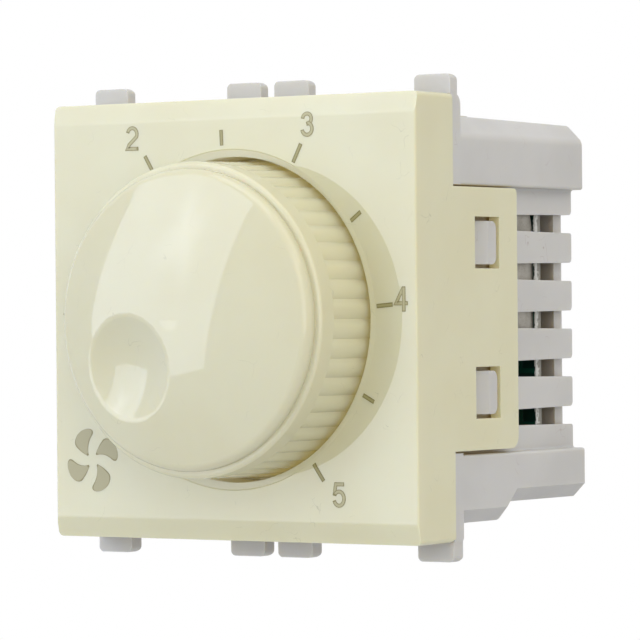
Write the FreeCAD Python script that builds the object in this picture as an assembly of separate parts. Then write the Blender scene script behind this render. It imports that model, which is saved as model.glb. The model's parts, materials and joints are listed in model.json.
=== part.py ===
"""Rotary fan speed control switch, a two-module insert for a wiring frame.

The insert clips into the square opening of a grid frame. A cream front plate carries
the dial and two side arms, which snap over lugs on a grey rear housing. The housing
is a tub with louvred sides: it holds the circuit board, a potentiometer that the knob
turns, a triac on a bent heat sink, a choke, capacitors and two lift terminals.

Frame: +X right and +Z up as seen from the room, +Y into the wall. The origin is on the
dial axis, in the plane where the clip tabs seat against the back of the grid frame.
Lengths are millimetres and angles are degrees.
"""
import FreeCAD
import Part
import math
import os

os.makedirs("parts", exist_ok=True)

V = FreeCAD.Vector

# Driving dimensions: front plate
module_width = 45.0
module_height = 45.0
seat_depth = 6.95
face_wall = 2.0
skirt_wall = 1.6
corner_radius = 0.5
face_edge_radius = 0.2
skirt_rear_run = 0.8
skirt_top_drop = 0.15
skirt_low_drop = 0.4
bevel_height = 2.0
bevel_depth = 0.42
bevel_blend_radius = 2.0
knob_gap = 0.4
dial_chamfer_width = 0.8
dial_chamfer_depth = 0.65
scoop_shift = 4.95
scoop_face_radius = 15.8
scoop_sphere_radius = 96.0
well_wall = 1.3
well_depth = 8.0
well_floor = 1.2
well_hole_radius = 5.0

# Driving dimensions: the plate's snap arms
arm_thickness = 1.2
arm_rear_depth = 19.2
arm_high = 13.2
arm_low = 13.4
arm_high_radius = 0.6
arm_low_radius = 1.3
window_front_depth = 11.0
window_length = 4.7
window_height = 5.25
window_centre_height = 7.6

# Driving dimensions: knob
knob_front = 7.2
knob_lip_width = 0.73
knob_lip_radius = 0.38
knob_crown_step = 0.4
knob_crown_roll = 1.0
knob_dome_radius = 50.0
knob_rear_depth = 5.4
flute_count = 50
flute_tip_radius = 16.2
flute_depth = 0.5
flute_front = 5.0
flute_taper = 0.22
flute_front_depth = 0.2
band_taper = 0.05
knob_wall = 1.6
knob_dome_wall = 2.6
knob_hub_radius = 4.2
knob_hub_gap = 3.5
knob_rib_thickness = 1.2
knob_rib_count = 6
knob_rib_setback = 3.0
pointer_angle = -130.0
dimple_offset = 7.4
dimple_rim_radius = 5.33
dimple_depth = 1.2
dimple_blend_radius = 1.0

# Driving dimensions: rear housing
flange_side_setback = 0.2
flange_thickness = 1.8
collar_gap = 0.05
flange_top_radius = 1.05
flange_low_radius = 0.5
tab_width = 4.25
tab_top_thickness = 1.35
tab_low_thickness = 1.75
tab_stand = 2.0
tab_inner_centre = 2.97
tab_outer_inset = 2.42
tab_corner_radius = 0.55
tab_rear_radius = 0.7
arm_clearance = 0.2
housing_depth = 33.0
block_side_setback = 0.25
side_arm_gap = 0.45
block_wall = 1.4
side_wall = 1.25
rear_wall = 1.6
upper_block_gap = 0.15
upper_block_setback = 2.0
upper_block_draft = 0.35
lower_block_gap = 0.4
lower_block_setback = 1.75
lower_block_rear_setback = 3.55
lower_step_depth = 17.8
lower_step_length = 2.0
lower_step_radius = 1.5
block_flare_length = 3.3
block_flare_rise = 0.26
block_rear_radius = 0.3
block_blend_radius = 0.3
upper_edge_chamfer = 2.1
upper_edge_radius = 1.1
lower_edge_chamfer = 1.4
louvre_count = 5
louvre_pitch = 5.03
louvre_front_gap = 1.55
louvre_rear_gap = 1.92
louvre_centre = -0.3
louvre_front_depth = 17.0
bar_top_radius = 0.3
bar_low_radius = 0.5
lug_thickness = 1.5
lug_length = 4.0
lug_rear_gap = 0.4
lug_height = 4.4
lug_corner_radius = 0.8
lug_ramp_length = 2.4

# Driving dimensions: circuit board
solder_space = 2.4
board_thickness = 1.1
board_right_gap = 0.2
board_left_gap = 0.6
board_top = 12.0
board_bottom = 13.4
boss_radius = 2.4
boss_hole_radius = 0.95
boss_left_inset = 2.4
boss_left_z = 9.4
boss_low_z = -10.4
board_screw_radius = 0.95
board_screw_head_radius = 2.0
board_screw_head_height = 1.2
board_screw_bite = 1.9
lead_clearance = 0.1

# Driving dimensions: potentiometer
pot_radius = 7.0
pot_can_wall = 0.8
pot_board_gap = 1.2
pot_cover_thickness = 0.8
bushing_radius = 3.5
bushing_length = 6.2
shaft_radius = 3.0
shaft_clearance = 0.05
shaft_front = 3.0
shaft_flat_offset = 1.5
shaft_flat_length = 9.0
rotor_radius = 5.4
rotor_thickness = 1.2
rotor_end_play = 0.3
wiper_thickness = 0.3
wiper_width = 2.6
wiper_finger_drop = 0.5
wiper_track_gap = 0.1
wafer_thickness = 1.2
nut_flat_width = 10.0
nut_thickness = 1.8
pin_width = 1.0
pin_thickness = 0.5
pin_pitch = 4.0
pin_height = -3.6
pin_tail = 1.0

# Driving dimensions: heat sink and triac
sink_thickness = 1.2
sink_bend_radius = 0.8
sink_wall_gap = 0.5
sink_left_reach = 10.5
sink_board_space = 9.9
sink_low = 9.5
sink_high = 12.0
sink_side_low = 2.2
sink_slant_run = 0.8
sink_slant_rise = 3.0
triac_width = 7.8
triac_height = 11.0
triac_thickness = 2.6
triac_plate_thickness = 0.6
triac_low = -0.4
triac_hole_height = 7.6
triac_hole_radius = 1.55
triac_screw_radius = 1.45
triac_screw_head_radius = 2.75
triac_screw_head_height = 1.8
leg_pitch = 2.3
leg_width = 0.8
leg_thickness = 0.5
leg_first_bend = 2.0
leg_bend_step = 2.0

# Driving dimensions: choke, capacitors, resistors and diac
choke_inset = 6.0
choke_z = -8.3
core_outer_radius = 4.4
core_inner_radius = 2.4
core_height = 3.8
winding_thickness = 0.8
winding_turns = 18
winding_groove_radius = 0.35
large_cap_width = 7.5
large_cap_length = 8.0
large_cap_height = 5.8
large_cap_inset = 9.6
large_cap_z = -10.4
large_cap_pin_pitch = 5.0
small_cap_width = 3.9
small_cap_length = 6.0
small_cap_height = 5.0
small_cap_x = -0.3
small_cap_z = -10.3
small_cap_pin_pitch = 2.5
cap_edge_radius = 0.6
resistor_radius = 1.2
resistor_length = 6.3
outer_resistor_inset = 2.1
inner_resistor_inset = 4.8
resistor_z = 1.9
diac_radius = 0.95
diac_length = 3.6
diac_inset = 7.1
diac_z = 1.0
lead_radius = 0.3
part_standoff = 0.35
lead_reach = 1.4

# Driving dimensions: lift terminals
terminal_wall_gap = 10.1
terminal_setback = 5.8
cage_length = 6.0
cage_width = 6.6
cage_side = 0.9
cage_top_thickness = 1.2
cage_base_thickness = 1.0
cage_lift = 2.4
cage_open_gap = 3.0
bar_thickness = 1.0
bar_width = 4.0
bar_drop = 7.7
bar_end_gap = 0.5
bar_tail_gap = 0.8
cage_bar_clearance = 0.25
screw_shank_radius = 1.7
screw_thread_clearance = 0.05
screw_tip_gap = 0.05
screw_head_radius = 2.75
screw_head_height = 1.8
screw_slot_width = 0.8
screw_slot_depth = 0.9
screw_head_gap = 0.15
access_hole_radius = 2.3
wire_entry_radius = 1.9
board_notch_clearance = 0.3

# Places worked out from the sizes above: plate and knob
half_width = module_width / 2
half_height = module_height / 2
arm_inner = half_width - arm_thickness
dial_hole_radius = flute_tip_radius + knob_gap
well_radius = dial_hole_radius + well_wall
flute_groove_radius = flute_tip_radius - flute_depth
flute_front_radius = flute_tip_radius - flute_taper
knob_front_radius = flute_front_radius - band_taper
knob_crown_radius = knob_front_radius - knob_lip_width
knob_roll_centre_radius = knob_crown_radius - knob_crown_roll
knob_roll_centre_front = knob_front + knob_crown_step

# Places worked out: housing
flange_half_width = half_width - flange_side_setback
flange_rear = seat_depth + flange_thickness
tab_reach = half_height + tab_stand
tab_outer_centre = half_width - tab_outer_inset
block_half_width = half_width - block_side_setback
side_half_width = arm_inner - side_arm_gap
cavity_rear = housing_depth - rear_wall
cavity_half_width = side_half_width - side_wall
upper_block_low = arm_high + upper_block_gap
upper_block_high = half_height - upper_block_setback
lower_block_high = arm_low + lower_block_gap
lower_block_front_low = half_height - lower_block_setback
lower_block_rear_low = half_height - lower_block_rear_setback

# Places worked out: board and what stands on it
board_rear = cavity_rear - solder_space
board_front_depth = board_rear - board_thickness
board_right = cavity_half_width - board_right_gap
board_left = -cavity_half_width + board_left_gap
outer_resistor_x = board_left + outer_resistor_inset
inner_resistor_x = board_left + inner_resistor_inset
diac_x = board_left + diac_inset
choke_x = board_left + choke_inset
large_cap_x = board_right - large_cap_inset
large_cap = (large_cap_x, large_cap_z, large_cap_width, large_cap_length, large_cap_height,
             large_cap_pin_pitch)
small_cap = (small_cap_x, small_cap_z, small_cap_width, small_cap_length, small_cap_height,
             small_cap_pin_pitch)
boss_low_x = (small_cap_x + small_cap_width / 2 + large_cap_x - large_cap_width / 2) / 2
boss_places = ((board_left + boss_left_inset, boss_left_z), (boss_low_x, boss_low_z))

# Places worked out: heat sink and potentiometer
sink_front_depth = board_front_depth - sink_board_space
sink_rear = sink_front_depth + sink_thickness
sink_outer_x = cavity_half_width - sink_wall_gap
sink_inner_x = sink_outer_x - sink_thickness
pot_front = sink_rear
pot_rear_depth = board_front_depth - pot_board_gap
bushing_front = pot_front - bushing_length
knob_hub_depth = bushing_front - knob_hub_gap
rotor_front = pot_front + pot_can_wall + rotor_end_play
rotor_rear = rotor_front + rotor_thickness
wafer_front = rotor_rear + wiper_thickness + wiper_finger_drop + wiper_track_gap
wafer_rear = wafer_front + wafer_thickness
pin_places = (-pin_pitch, 0, pin_pitch)

# Places worked out: lift terminals, hung from the top of the upper block
terminal_x = cavity_half_width - terminal_wall_gap
terminal_depth = cavity_rear - terminal_setback
bar_top = upper_block_high - bar_drop
bar_base = bar_top - bar_thickness
cage_floor = bar_base - cage_open_gap
cage_base = cage_floor - cage_base_thickness
cage_ceiling = bar_top + cage_bar_clearance
cage_top = cage_ceiling + cage_top_thickness
cage_front = terminal_depth - cage_length / 2
cage_rear = terminal_depth + cage_length / 2
wire_entry_height = cage_floor + cage_open_gap / 2
bar_drop_low = cage_base - bar_tail_gap - bar_thickness


def model_y(depth):
    """Turn a depth behind the face of the plate into the model's own Y."""
    return depth - seat_depth


def box(x0, x1, depth0, depth1, z0, z1):
    """A block between two corners, with its Y given as depth behind the face."""
    corner = V(x0, model_y(depth0), z0)
    return Part.makeBox(x1 - x0, depth1 - depth0, z1 - z0, corner)


def rod_y(radius, depth0, depth1, x=0.0, z=0.0):
    """A round bar along the dial axis direction."""
    return Part.makeCylinder(radius, depth1 - depth0, V(x, model_y(depth0), z), V(0, 1, 0))


def rod_z(radius, z0, z1, x, depth):
    """An upright round bar."""
    return Part.makeCylinder(radius, z1 - z0, V(x, model_y(depth), z0), V(0, 0, 1))


def rod_x(radius, x0, x1, depth, z):
    """A round bar across the width."""
    return Part.makeCylinder(radius, x1 - x0, V(x0, model_y(depth), z), V(1, 0, 0))


def corner_arc(before, corner, after, radius):
    """Start, middle and end of the arc that rounds one corner of an outline."""
    back = (before - corner).normalize()
    ahead = (after - corner).normalize()
    half_angle = back.getAngle(ahead) / 2
    reach = radius / math.tan(half_angle)
    drop = radius / math.sin(half_angle) - radius
    return corner + back * reach, corner + (back + ahead).normalize() * drop, corner + ahead * reach


def outline_face(corners, radii):
    """A flat face inside straight lines, with an arc at each corner that has a radius."""
    count = len(corners)
    bends = []
    for i in range(count):
        if radii[i]:
            bends.append(corner_arc(corners[i - 1], corners[i], corners[(i + 1) % count], radii[i]))
        else:
            bends.append((corners[i], None, corners[i]))
    edges = []
    for i in range(count):
        start, middle, end = bends[i]
        if middle:
            edges.append(Part.Arc(start, middle, end).toShape())
        edges.append(Part.LineSegment(end, bends[(i + 1) % count][0]).toShape())
    return Part.Face(Part.Wire(edges))


def corner_radii(points):
    """The radius of each outline point: its third value, or none for a sharp corner."""
    return [point[2] if len(point) > 2 else 0 for point in points]


def side_profile(points, x0, x1):
    """Extrude a closed outline of (depth, z) or (depth, z, radius) points across the width."""
    corners = [V(x0, model_y(point[0]), point[1]) for point in points]
    return outline_face(corners, corner_radii(points)).extrude(V(x1 - x0, 0, 0))


def front_profile(points, depth0, depth1):
    """Extrude a closed outline of (x, z) or (x, z, radius) points along the depth."""
    corners = [V(point[0], model_y(depth0), point[1]) for point in points]
    return outline_face(corners, corner_radii(points)).extrude(V(0, depth1 - depth0, 0))


def rounded_block(x0, x1, depth0, depth1, z0, z1, radius):
    """A block whose four edges along the depth are rounded."""
    block = box(x0, x1, depth0, depth1, z0, z1)
    edges = [e for e in block.Edges if is_along(e, V(0, 1, 0))]
    return block.makeFillet(radius, edges)


def is_along(edge, direction):
    """True for a straight edge that runs along a direction."""
    ends = edge.Vertexes
    if len(ends) != 2:
        return False
    span = ends[1].Point - ends[0].Point
    return abs(abs(span.dot(direction)) - edge.Length) < 1e-6 and span.Length > 1e-6


def revolve_about_dial(outline):
    """Revolve a closed wire drawn in the X-Y plane about the dial axis."""
    return Part.Face(outline).revolve(V(0, 0, 0), V(0, 1, 0), 360)


def dial_point(radius, depth):
    """A point of a turned outline, in the X-Y plane."""
    return V(radius, model_y(depth), 0)


def turned(points):
    """Revolve a closed outline of (radius, depth) points about the dial axis."""
    corners = [dial_point(radius, depth) for radius, depth in points]
    return revolve_about_dial(Part.makePolygon(corners + [corners[0]]))


def fuse_all(shapes):
    """Join solids into one and clean the seams."""
    return shapes[0].multiFuse(shapes[1:]).removeSplitter()


def save(name, shape):
    """Write one sub-part, after checking that its solids are sound."""
    if not shape.Solids or not shape.isValid():
        raise ValueError("unsound solid: " + name)
    shape.exportStep("parts/" + name + ".step")
    low = shape.BoundBox
    print("%-22s %2d solids %9.2f mm3  x %.2f..%.2f y %.2f..%.2f z %.2f..%.2f" % (
        name, len(shape.Solids), shape.Volume,
        low.XMin, low.XMax, low.YMin, low.YMax, low.ZMin, low.ZMax))


def plate_shell():
    """The plate's outer skin: three outlines crossed, one seen from each side."""
    front = rounded_block(-half_width, half_width, 0, seat_depth,
                          -half_height, half_height, corner_radius)
    plan = box(-half_width, half_width, 0, seat_depth, -half_height, half_height)
    front_edges = [e for e in plan.Edges
                   if is_along(e, V(0, 0, 1)) and abs(e.CenterOfMass.y - model_y(0)) < 1e-6]
    plan = plan.makeFillet(face_edge_radius, front_edges)
    flat_top = half_height - bevel_height
    rear_flat = seat_depth - skirt_rear_run
    side = side_profile([(0, -flat_top, bevel_blend_radius), (0, flat_top, bevel_blend_radius),
                         (bevel_depth, half_height), (rear_flat, half_height),
                         (seat_depth, half_height - skirt_top_drop),
                         (seat_depth, -half_height + skirt_low_drop),
                         (rear_flat, -half_height), (bevel_depth, -half_height)],
                        -half_width, half_width)
    return front.common(plan).common(side)


def plate_arm():
    """The right-hand snap arm with its two windows."""
    arm = side_profile([(face_wall, -arm_low), (face_wall, arm_high),
                        (arm_rear_depth, arm_high, arm_high_radius),
                        (arm_rear_depth, -arm_low, arm_low_radius)], arm_inner, half_width)
    for side in (-1, 1):
        middle = side * window_centre_height
        window = box(arm_inner - 1, half_width + 1, window_front_depth,
                     window_front_depth + window_length,
                     middle - window_height / 2, middle + window_height / 2)
        arm = arm.cut(window)
    return arm


def build_front_plate():
    """Cream plate: skirt, dial opening with finger scoops, knob well and snap arms."""
    shell = plate_shell()
    hollow = box(-half_width + skirt_wall, half_width - skirt_wall, face_wall, seat_depth + 1,
                 -half_height + skirt_wall, half_height - skirt_wall)
    shell = shell.cut(hollow)
    well = rod_y(well_radius, face_wall / 2, well_depth)
    arm = plate_arm()
    plate = fuse_all([shell, well, arm, arm.mirror(V(0, 0, 0), V(1, 0, 0))])
    plate = plate.cut(rod_y(dial_hole_radius, -1, well_depth - well_floor))
    plate = plate.cut(rod_y(well_hole_radius, 0, well_depth + 1))
    rim_radius = dial_hole_radius + dial_chamfer_width
    funnel = Part.makeCone(rim_radius, dial_hole_radius, dial_chamfer_depth,
                           V(0, model_y(0), 0), V(0, 1, 0))
    plate = plate.cut(funnel)
    sphere_reach = math.sqrt(scoop_sphere_radius ** 2 - scoop_face_radius ** 2)
    for side in (-1, 1):
        centre = V(side * scoop_shift, model_y(0) - sphere_reach, 0)
        plate = plate.cut(Part.makeSphere(scoop_sphere_radius, centre))
    return plate


def lobe_radius(tip_radius, groove_radius):
    """Radius of the arc that bulges to the tip between two grooves of the knob's skirt."""
    half_turn = math.pi / flute_count
    drop = tip_radius - groove_radius * math.cos(half_turn)
    half_chord = groove_radius * math.sin(half_turn)
    return (drop ** 2 + half_chord ** 2) / (2 * drop)


def flute_lobe():
    """One lobe of the skirt, on +X: a slice between two grooves, bounded by a leaning cone."""
    rear_radius = lobe_radius(flute_tip_radius, flute_groove_radius)
    front_radius = lobe_radius(flute_front_radius, flute_front_radius - flute_front_depth)
    rear_tip = dial_point(flute_tip_radius, knob_rear_depth)
    front_tip = dial_point(flute_front_radius, -flute_front)
    along = front_tip - rear_tip
    lean = math.asin((front_radius - rear_radius) / along.Length)
    slope = math.atan2(along.x, -along.y)
    axis = V(math.sin(slope - lean), -math.cos(slope - lean), 0)
    outward = V(math.cos(slope - lean), math.sin(slope - lean), 0)
    spare = rear_radius
    taper = math.tan(lean)
    start = rear_tip - outward * rear_radius - axis * spare
    length = along.Length * math.cos(lean) + 2 * spare
    cone = Part.makeCone(rear_radius - spare * taper, front_radius + spare * taper, length,
                         start, axis)
    half_turn = math.pi / flute_count
    root = flute_groove_radius - flute_depth
    rim = flute_tip_radius + flute_depth
    corners = [(root * math.cos(turn) if far else rim * math.cos(turn),
                root * math.sin(turn) if far else rim * math.sin(turn))
               for far, turn in ((True, -half_turn), (False, -half_turn),
                                 (False, half_turn), (True, half_turn))]
    return cone.common(front_profile(corners, -flute_front, knob_rear_depth))


def flute_skirt():
    """The fluted skirt as one solid: a round core inside a full ring of lobes."""
    lobe = flute_lobe()
    pieces = [rod_y(flute_groove_radius - flute_depth / 2, -flute_front, knob_rear_depth)]
    for i in range(flute_count):
        copy = lobe.copy()
        copy.rotate(V(0, 0, 0), V(0, 1, 0), (i + 0.5) * 360.0 / flute_count)
        pieces.append(copy)
    return fuse_all(pieces)


def dome_front(radius, sphere_radius, edge_radius, edge_front):
    """How far a dome stands in front of the face at a given distance from the axis."""
    sink = sphere_radius - math.sqrt(sphere_radius ** 2 - edge_radius ** 2)
    rise = sphere_radius - math.sqrt(sphere_radius ** 2 - radius ** 2)
    return edge_front + sink - rise


def crown_edge():
    """Where the knob's dome runs into its rolled edge, as radius and distance to the front."""
    slope = math.asin(knob_roll_centre_radius / (knob_dome_radius - knob_crown_roll))
    radius = knob_roll_centre_radius + knob_crown_roll * math.sin(slope)
    front = knob_roll_centre_front + knob_crown_roll * math.cos(slope)
    return radius, front, slope


def knob_cap():
    """The turned front of the knob: dome, rolled edge, crease, lip and smooth band."""
    edge_radius, edge_front, slope = crown_edge()
    top_front = dome_front(0, knob_dome_radius, edge_radius, edge_front)
    middle_radius = edge_radius / 2
    middle_front = dome_front(middle_radius, knob_dome_radius, edge_radius, edge_front)
    roll_turn = (slope + math.pi / 2) / 2
    roll_middle = dial_point(knob_roll_centre_radius + knob_crown_roll * math.sin(roll_turn),
                             -knob_roll_centre_front - knob_crown_roll * math.cos(roll_turn))
    lip_inner = knob_front_radius - knob_lip_radius
    lip_bend = knob_lip_radius * math.sqrt(0.5)
    lip_middle = dial_point(lip_inner + lip_bend, -knob_front + knob_lip_radius - lip_bend)
    axis_front = dial_point(0, -top_front)
    crown = dial_point(edge_radius, -edge_front)
    roll_end = dial_point(knob_crown_radius, -knob_roll_centre_front)
    crease = dial_point(knob_crown_radius, -knob_front)
    lip_start = dial_point(lip_inner, -knob_front)
    lip_end = dial_point(knob_front_radius, -knob_front + knob_lip_radius)
    band_end = dial_point(flute_front_radius, -flute_front)
    axis_rear = dial_point(0, -flute_front)
    outline = Part.Wire([
        Part.Arc(axis_front, dial_point(middle_radius, -middle_front), crown).toShape(),
        Part.Arc(crown, roll_middle, roll_end).toShape(),
        Part.LineSegment(roll_end, crease).toShape(),
        Part.LineSegment(crease, lip_start).toShape(),
        Part.Arc(lip_start, lip_middle, lip_end).toShape(),
        Part.LineSegment(lip_end, band_end).toShape(),
        Part.LineSegment(band_end, axis_rear).toShape(),
        Part.LineSegment(axis_rear, axis_front).toShape(),
    ])
    return revolve_about_dial(outline), top_front


def knob_hollow(top_front):
    """The space inside the knob: a straight skirt under a dome of even thickness."""
    inner_radius = flute_groove_radius - knob_wall
    inner_sphere = knob_dome_radius - knob_dome_wall
    inner_top = top_front - knob_dome_wall
    skirt_space = rod_y(inner_radius, -inner_top, knob_rear_depth + 1)
    ball = Part.makeSphere(inner_sphere, V(0, model_y(inner_sphere - inner_top), 0))
    return skirt_space.common(ball)


def build_knob():
    """Cream knob: domed cap with a finger dimple, fluted skirt, ribs and a hub for the shaft."""
    cap, top_front = knob_cap()
    knob = cap.fuse(flute_skirt()).removeSplitter()
    knob = knob.cut(knob_hollow(top_front))
    inner_top = top_front - knob_dome_wall
    hub = rod_y(knob_hub_radius, -inner_top - 0.5, knob_hub_depth)
    ribs = []
    rib_rear = knob_rear_depth - knob_rib_setback
    for i in range(knob_rib_count):
        rib = box(knob_hub_radius / 2, flute_groove_radius - knob_wall / 2, -knob_front, rib_rear,
                  -knob_rib_thickness / 2, knob_rib_thickness / 2)
        rib.rotate(V(0, 0, 0), V(0, 1, 0), i * 360.0 / knob_rib_count)
        ribs.append(rib)
    knob = fuse_all([knob, hub] + ribs)
    knob = knob.cut(d_section(shaft_radius, -shaft_front, knob_hub_depth + 1))
    ball = dimple_ball(top_front)
    knob = knob.cut(ball)
    rim = [e for e in knob.Edges if is_on_ball(e, ball) and e.Curve.TypeId == "Part::GeomCircle"]
    return knob.makeFillet(dimple_blend_radius, rim)


def is_on_ball(edge, ball):
    """True for an edge that lies on the surface of a ball."""
    surface = ball.Faces[0].Surface
    middle = edge.valueAt((edge.FirstParameter + edge.LastParameter) / 2)
    points = [vertex.Point for vertex in edge.Vertexes] + [middle]
    return all(abs(point.distanceToPoint(surface.Center) - surface.Radius) < 1e-4 for point in points)


def dimple_ball(top_front):
    """The ball that hollows the finger dimple, set square to the dome under it."""
    turn = math.radians(pointer_angle)
    across = V(math.sin(turn), 0, math.cos(turn))
    ball_radius = (dimple_rim_radius ** 2 + dimple_depth ** 2) / (2 * dimple_depth)
    tilt = math.asin(dimple_offset / knob_dome_radius)
    outward = across * math.sin(tilt) + V(0, -1, 0) * math.cos(tilt)
    dome_centre = V(0, model_y(knob_dome_radius - top_front), 0)
    rim_distance = math.sqrt(knob_dome_radius ** 2 - dimple_rim_radius ** 2)
    centre = dome_centre + outward * (rim_distance + ball_radius - dimple_depth)
    return Part.makeSphere(ball_radius, centre)


def d_section(radius, depth0, depth1):
    """A round bar with one flat along its whole length, the flat facing up at the pointer."""
    bar = rod_y(radius, depth0, depth1)
    flat = box(-radius - 1, radius + 1, depth0 - 1, depth0 + shaft_flat_length,
               shaft_flat_offset, radius + 1)
    flat.rotate(V(0, 0, 0), V(0, 1, 0), pointer_angle)
    return bar.cut(flat)


def clip_tab(centre, side):
    """One clip tab, above the plate for side 1 or below it for side -1."""
    front = seat_depth + collar_gap
    tab_rear = seat_depth + (tab_top_thickness if side > 0 else tab_low_thickness)
    low = side * (half_height - 2 * flange_top_radius)
    edge = side * half_height
    tip = side * tab_reach
    across = side_profile([(front, low), (front, edge), (seat_depth, edge), (seat_depth, tip),
                           (tab_rear, tip, tab_rear_radius), (tab_rear, low)],
                          centre - tab_width / 2, centre + tab_width / 2)
    outline = [(centre - tab_width / 2, low), (centre - tab_width / 2, tip, tab_corner_radius),
               (centre + tab_width / 2, tip, tab_corner_radius), (centre + tab_width / 2, low)]
    return across.common(front_profile(outline, seat_depth - 1, tab_rear + 1))


def flange():
    """The housing's collar just behind the plate, with its eight clip tabs."""
    front = seat_depth + collar_gap
    pieces = [side_profile([(front, -half_height), (front, half_height),
                            (flange_rear, half_height, flange_top_radius),
                            (flange_rear, -half_height, flange_low_radius)],
                           -flange_half_width, flange_half_width)]
    for side in (-1, 1):
        for centre in (-tab_outer_centre, -tab_inner_centre, tab_inner_centre, tab_outer_centre):
            pieces.append(clip_tab(centre, side))
    collar = fuse_all(pieces)
    for side in (-1, 1):
        outer = side * (half_width + 1)
        inner = side * (arm_inner - arm_clearance)
        notch = box(min(outer, inner), max(outer, inner), seat_depth - 1, flange_rear + 1,
                    -arm_low - arm_clearance, arm_high + arm_clearance)
        collar = collar.cut(notch)
    return collar


def block_outlines(inset):
    """Side outlines of the upper and lower blocks, drawn in by a wall for the hollow."""
    rear = housing_depth - (rear_wall if inset else 0)
    front = seat_depth - 1 if inset else seat_depth + flange_thickness / 2
    edge_radius = 0 if inset else block_rear_radius
    high = upper_block_high - inset
    upper_low = upper_block_low if not inset else 0
    upper = [(front, upper_low), (front, high), (rear, high - upper_block_draft, edge_radius),
             (rear, upper_low)]
    step = lower_step_depth - inset
    front_low = -lower_block_front_low + inset
    rear_low = -lower_block_rear_low + inset
    lower_high = -lower_block_high if not inset else 0
    lower = [(front, lower_high), (front, front_low), (step, front_low, lower_step_radius),
             (step + lower_step_length, rear_low), (rear, rear_low), (rear, lower_high)]
    return upper, lower


def upper_block_shell():
    """The upper block, with its long top corners taken off in a soft slope."""
    upper, lower = block_outlines(0)
    block = side_profile(upper, -block_half_width, block_half_width)
    slope_end = upper_block_high - upper_edge_chamfer
    slope_top = block_half_width - upper_edge_chamfer
    outline = [(-block_half_width, upper_block_low, block_blend_radius),
               (-block_half_width, slope_end, upper_edge_radius),
               (-slope_top, upper_block_high, upper_edge_radius),
               (slope_top, upper_block_high, upper_edge_radius),
               (block_half_width, slope_end, upper_edge_radius),
               (block_half_width, upper_block_low, block_blend_radius)]
    return block.common(front_profile(outline, seat_depth, housing_depth + 1))


def lower_block_shell():
    """The lower block, with a flat taken off its long bottom corners and a blend above."""
    upper, lower = block_outlines(0)
    block = side_profile(lower, -block_half_width, block_half_width)
    edges = []
    for edge in block.Edges:
        middle = edge.CenterOfMass
        outermost = abs(abs(middle.x) - block_half_width) < 1e-6
        below = middle.z < -lower_block_high - lower_edge_chamfer
        span = edge.Vertexes[1].Point - edge.Vertexes[0].Point
        upright = abs(span.z) > 0.99 * edge.Length
        if outermost and below and not upright:
            edges.append(edge)
    block = block.makeChamfer(lower_edge_chamfer, edges)
    outline = [(-block_half_width, -half_height), (-block_half_width, -lower_block_high,
                                                   block_blend_radius),
               (block_half_width, -lower_block_high, block_blend_radius),
               (block_half_width, -half_height)]
    return block.common(front_profile(outline, seat_depth, housing_depth + 1))


def block_flares():
    """Soft rises where the blocks' outer faces run into the collar."""
    half_run = block_flare_length / 2
    slope = block_flare_rise / half_run
    blend_radius = half_run / math.tan(math.atan(slope) / 2)
    flares = []
    for high, side, half in ((upper_block_high, 1, block_half_width - upper_edge_chamfer),
                             (lower_block_front_low, -1, block_half_width - lower_edge_chamfer)):
        outline = [(flange_rear - half_run, side * (high - block_wall / 2)),
                   (flange_rear - half_run, side * (high + 2 * block_flare_rise)),
                   (flange_rear + half_run, side * high, blend_radius),
                   (flange_rear + 2 * half_run + block_wall, side * high),
                   (flange_rear + 2 * half_run + block_wall, side * (high - block_wall / 2))]
        flares.append(side_profile(outline, -half, half))
    return flares


def wall_blends():
    """Small hollow blends where the side walls meet the wider blocks."""
    blends = []
    radius = block_blend_radius
    for side in (-1, 1):
        x0 = side * (side_half_width + radius)
        for z, turn in ((upper_block_low, -1), (-lower_block_high, 1)):
            low_x = min(x0, x0 - side * radius)
            low_z = min(z, z + turn * radius)
            strip = box(low_x, low_x + radius, seat_depth + flange_thickness / 2, housing_depth,
                        low_z, low_z + radius)
            blends.append(strip.cut(rod_y(radius, seat_depth, housing_depth + 1,
                                          x0, z + turn * radius)))
    return blends


def snap_lug(middle):
    """A right-hand snap lug: a ramp that faces the plate and a square catch behind."""
    window_rear = window_front_depth + window_length
    lug_rear = window_rear - lug_rear_gap
    lug_front = lug_rear - lug_length
    root = side_half_width - side_wall / 2
    tip = side_half_width + lug_thickness
    low = middle - lug_height / 2
    high = middle + lug_height / 2
    lug = box(root, tip, lug_front, lug_rear, low, high)
    edges = [e for e in lug.Edges if is_along(e, V(1, 0, 0))]
    lug = lug.makeFillet(lug_corner_radius, edges)
    wedge_points = [(tip + 1, lug_front - 1), (tip + 1, lug_front + lug_ramp_length),
                    (tip, lug_front + lug_ramp_length), (side_half_width, lug_front),
                    (side_half_width, lug_front - 1)]
    corners = [V(x, model_y(depth), low - 1) for x, depth in wedge_points]
    wedge = Part.Face(Part.makePolygon(corners + [corners[0]])).extrude(V(0, 0, lug_height + 2))
    return lug.cut(wedge)


def louvre_slots():
    """The side slots, all on the right, as one tool: they widen to the rear, as moulded."""
    slots = []
    first = louvre_centre - louvre_pitch * (louvre_count - 1) / 2
    front_half = louvre_front_gap / 2
    rear_half = louvre_rear_gap / 2
    spread = rear_half + bar_top_radius + bar_low_radius
    for i in range(louvre_count):
        middle = first + i * louvre_pitch
        outline = [(louvre_front_depth, middle - front_half),
                   (louvre_front_depth, middle + front_half),
                   (housing_depth, middle + rear_half, bar_low_radius),
                   (housing_depth, middle + spread), (housing_depth + 1, middle + spread),
                   (housing_depth + 1, middle - spread), (housing_depth, middle - spread),
                   (housing_depth, middle - rear_half, bar_top_radius)]
        slots.append(side_profile(outline, cavity_half_width - 0.01, block_half_width + 1))
    return Part.makeCompound(slots)


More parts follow.
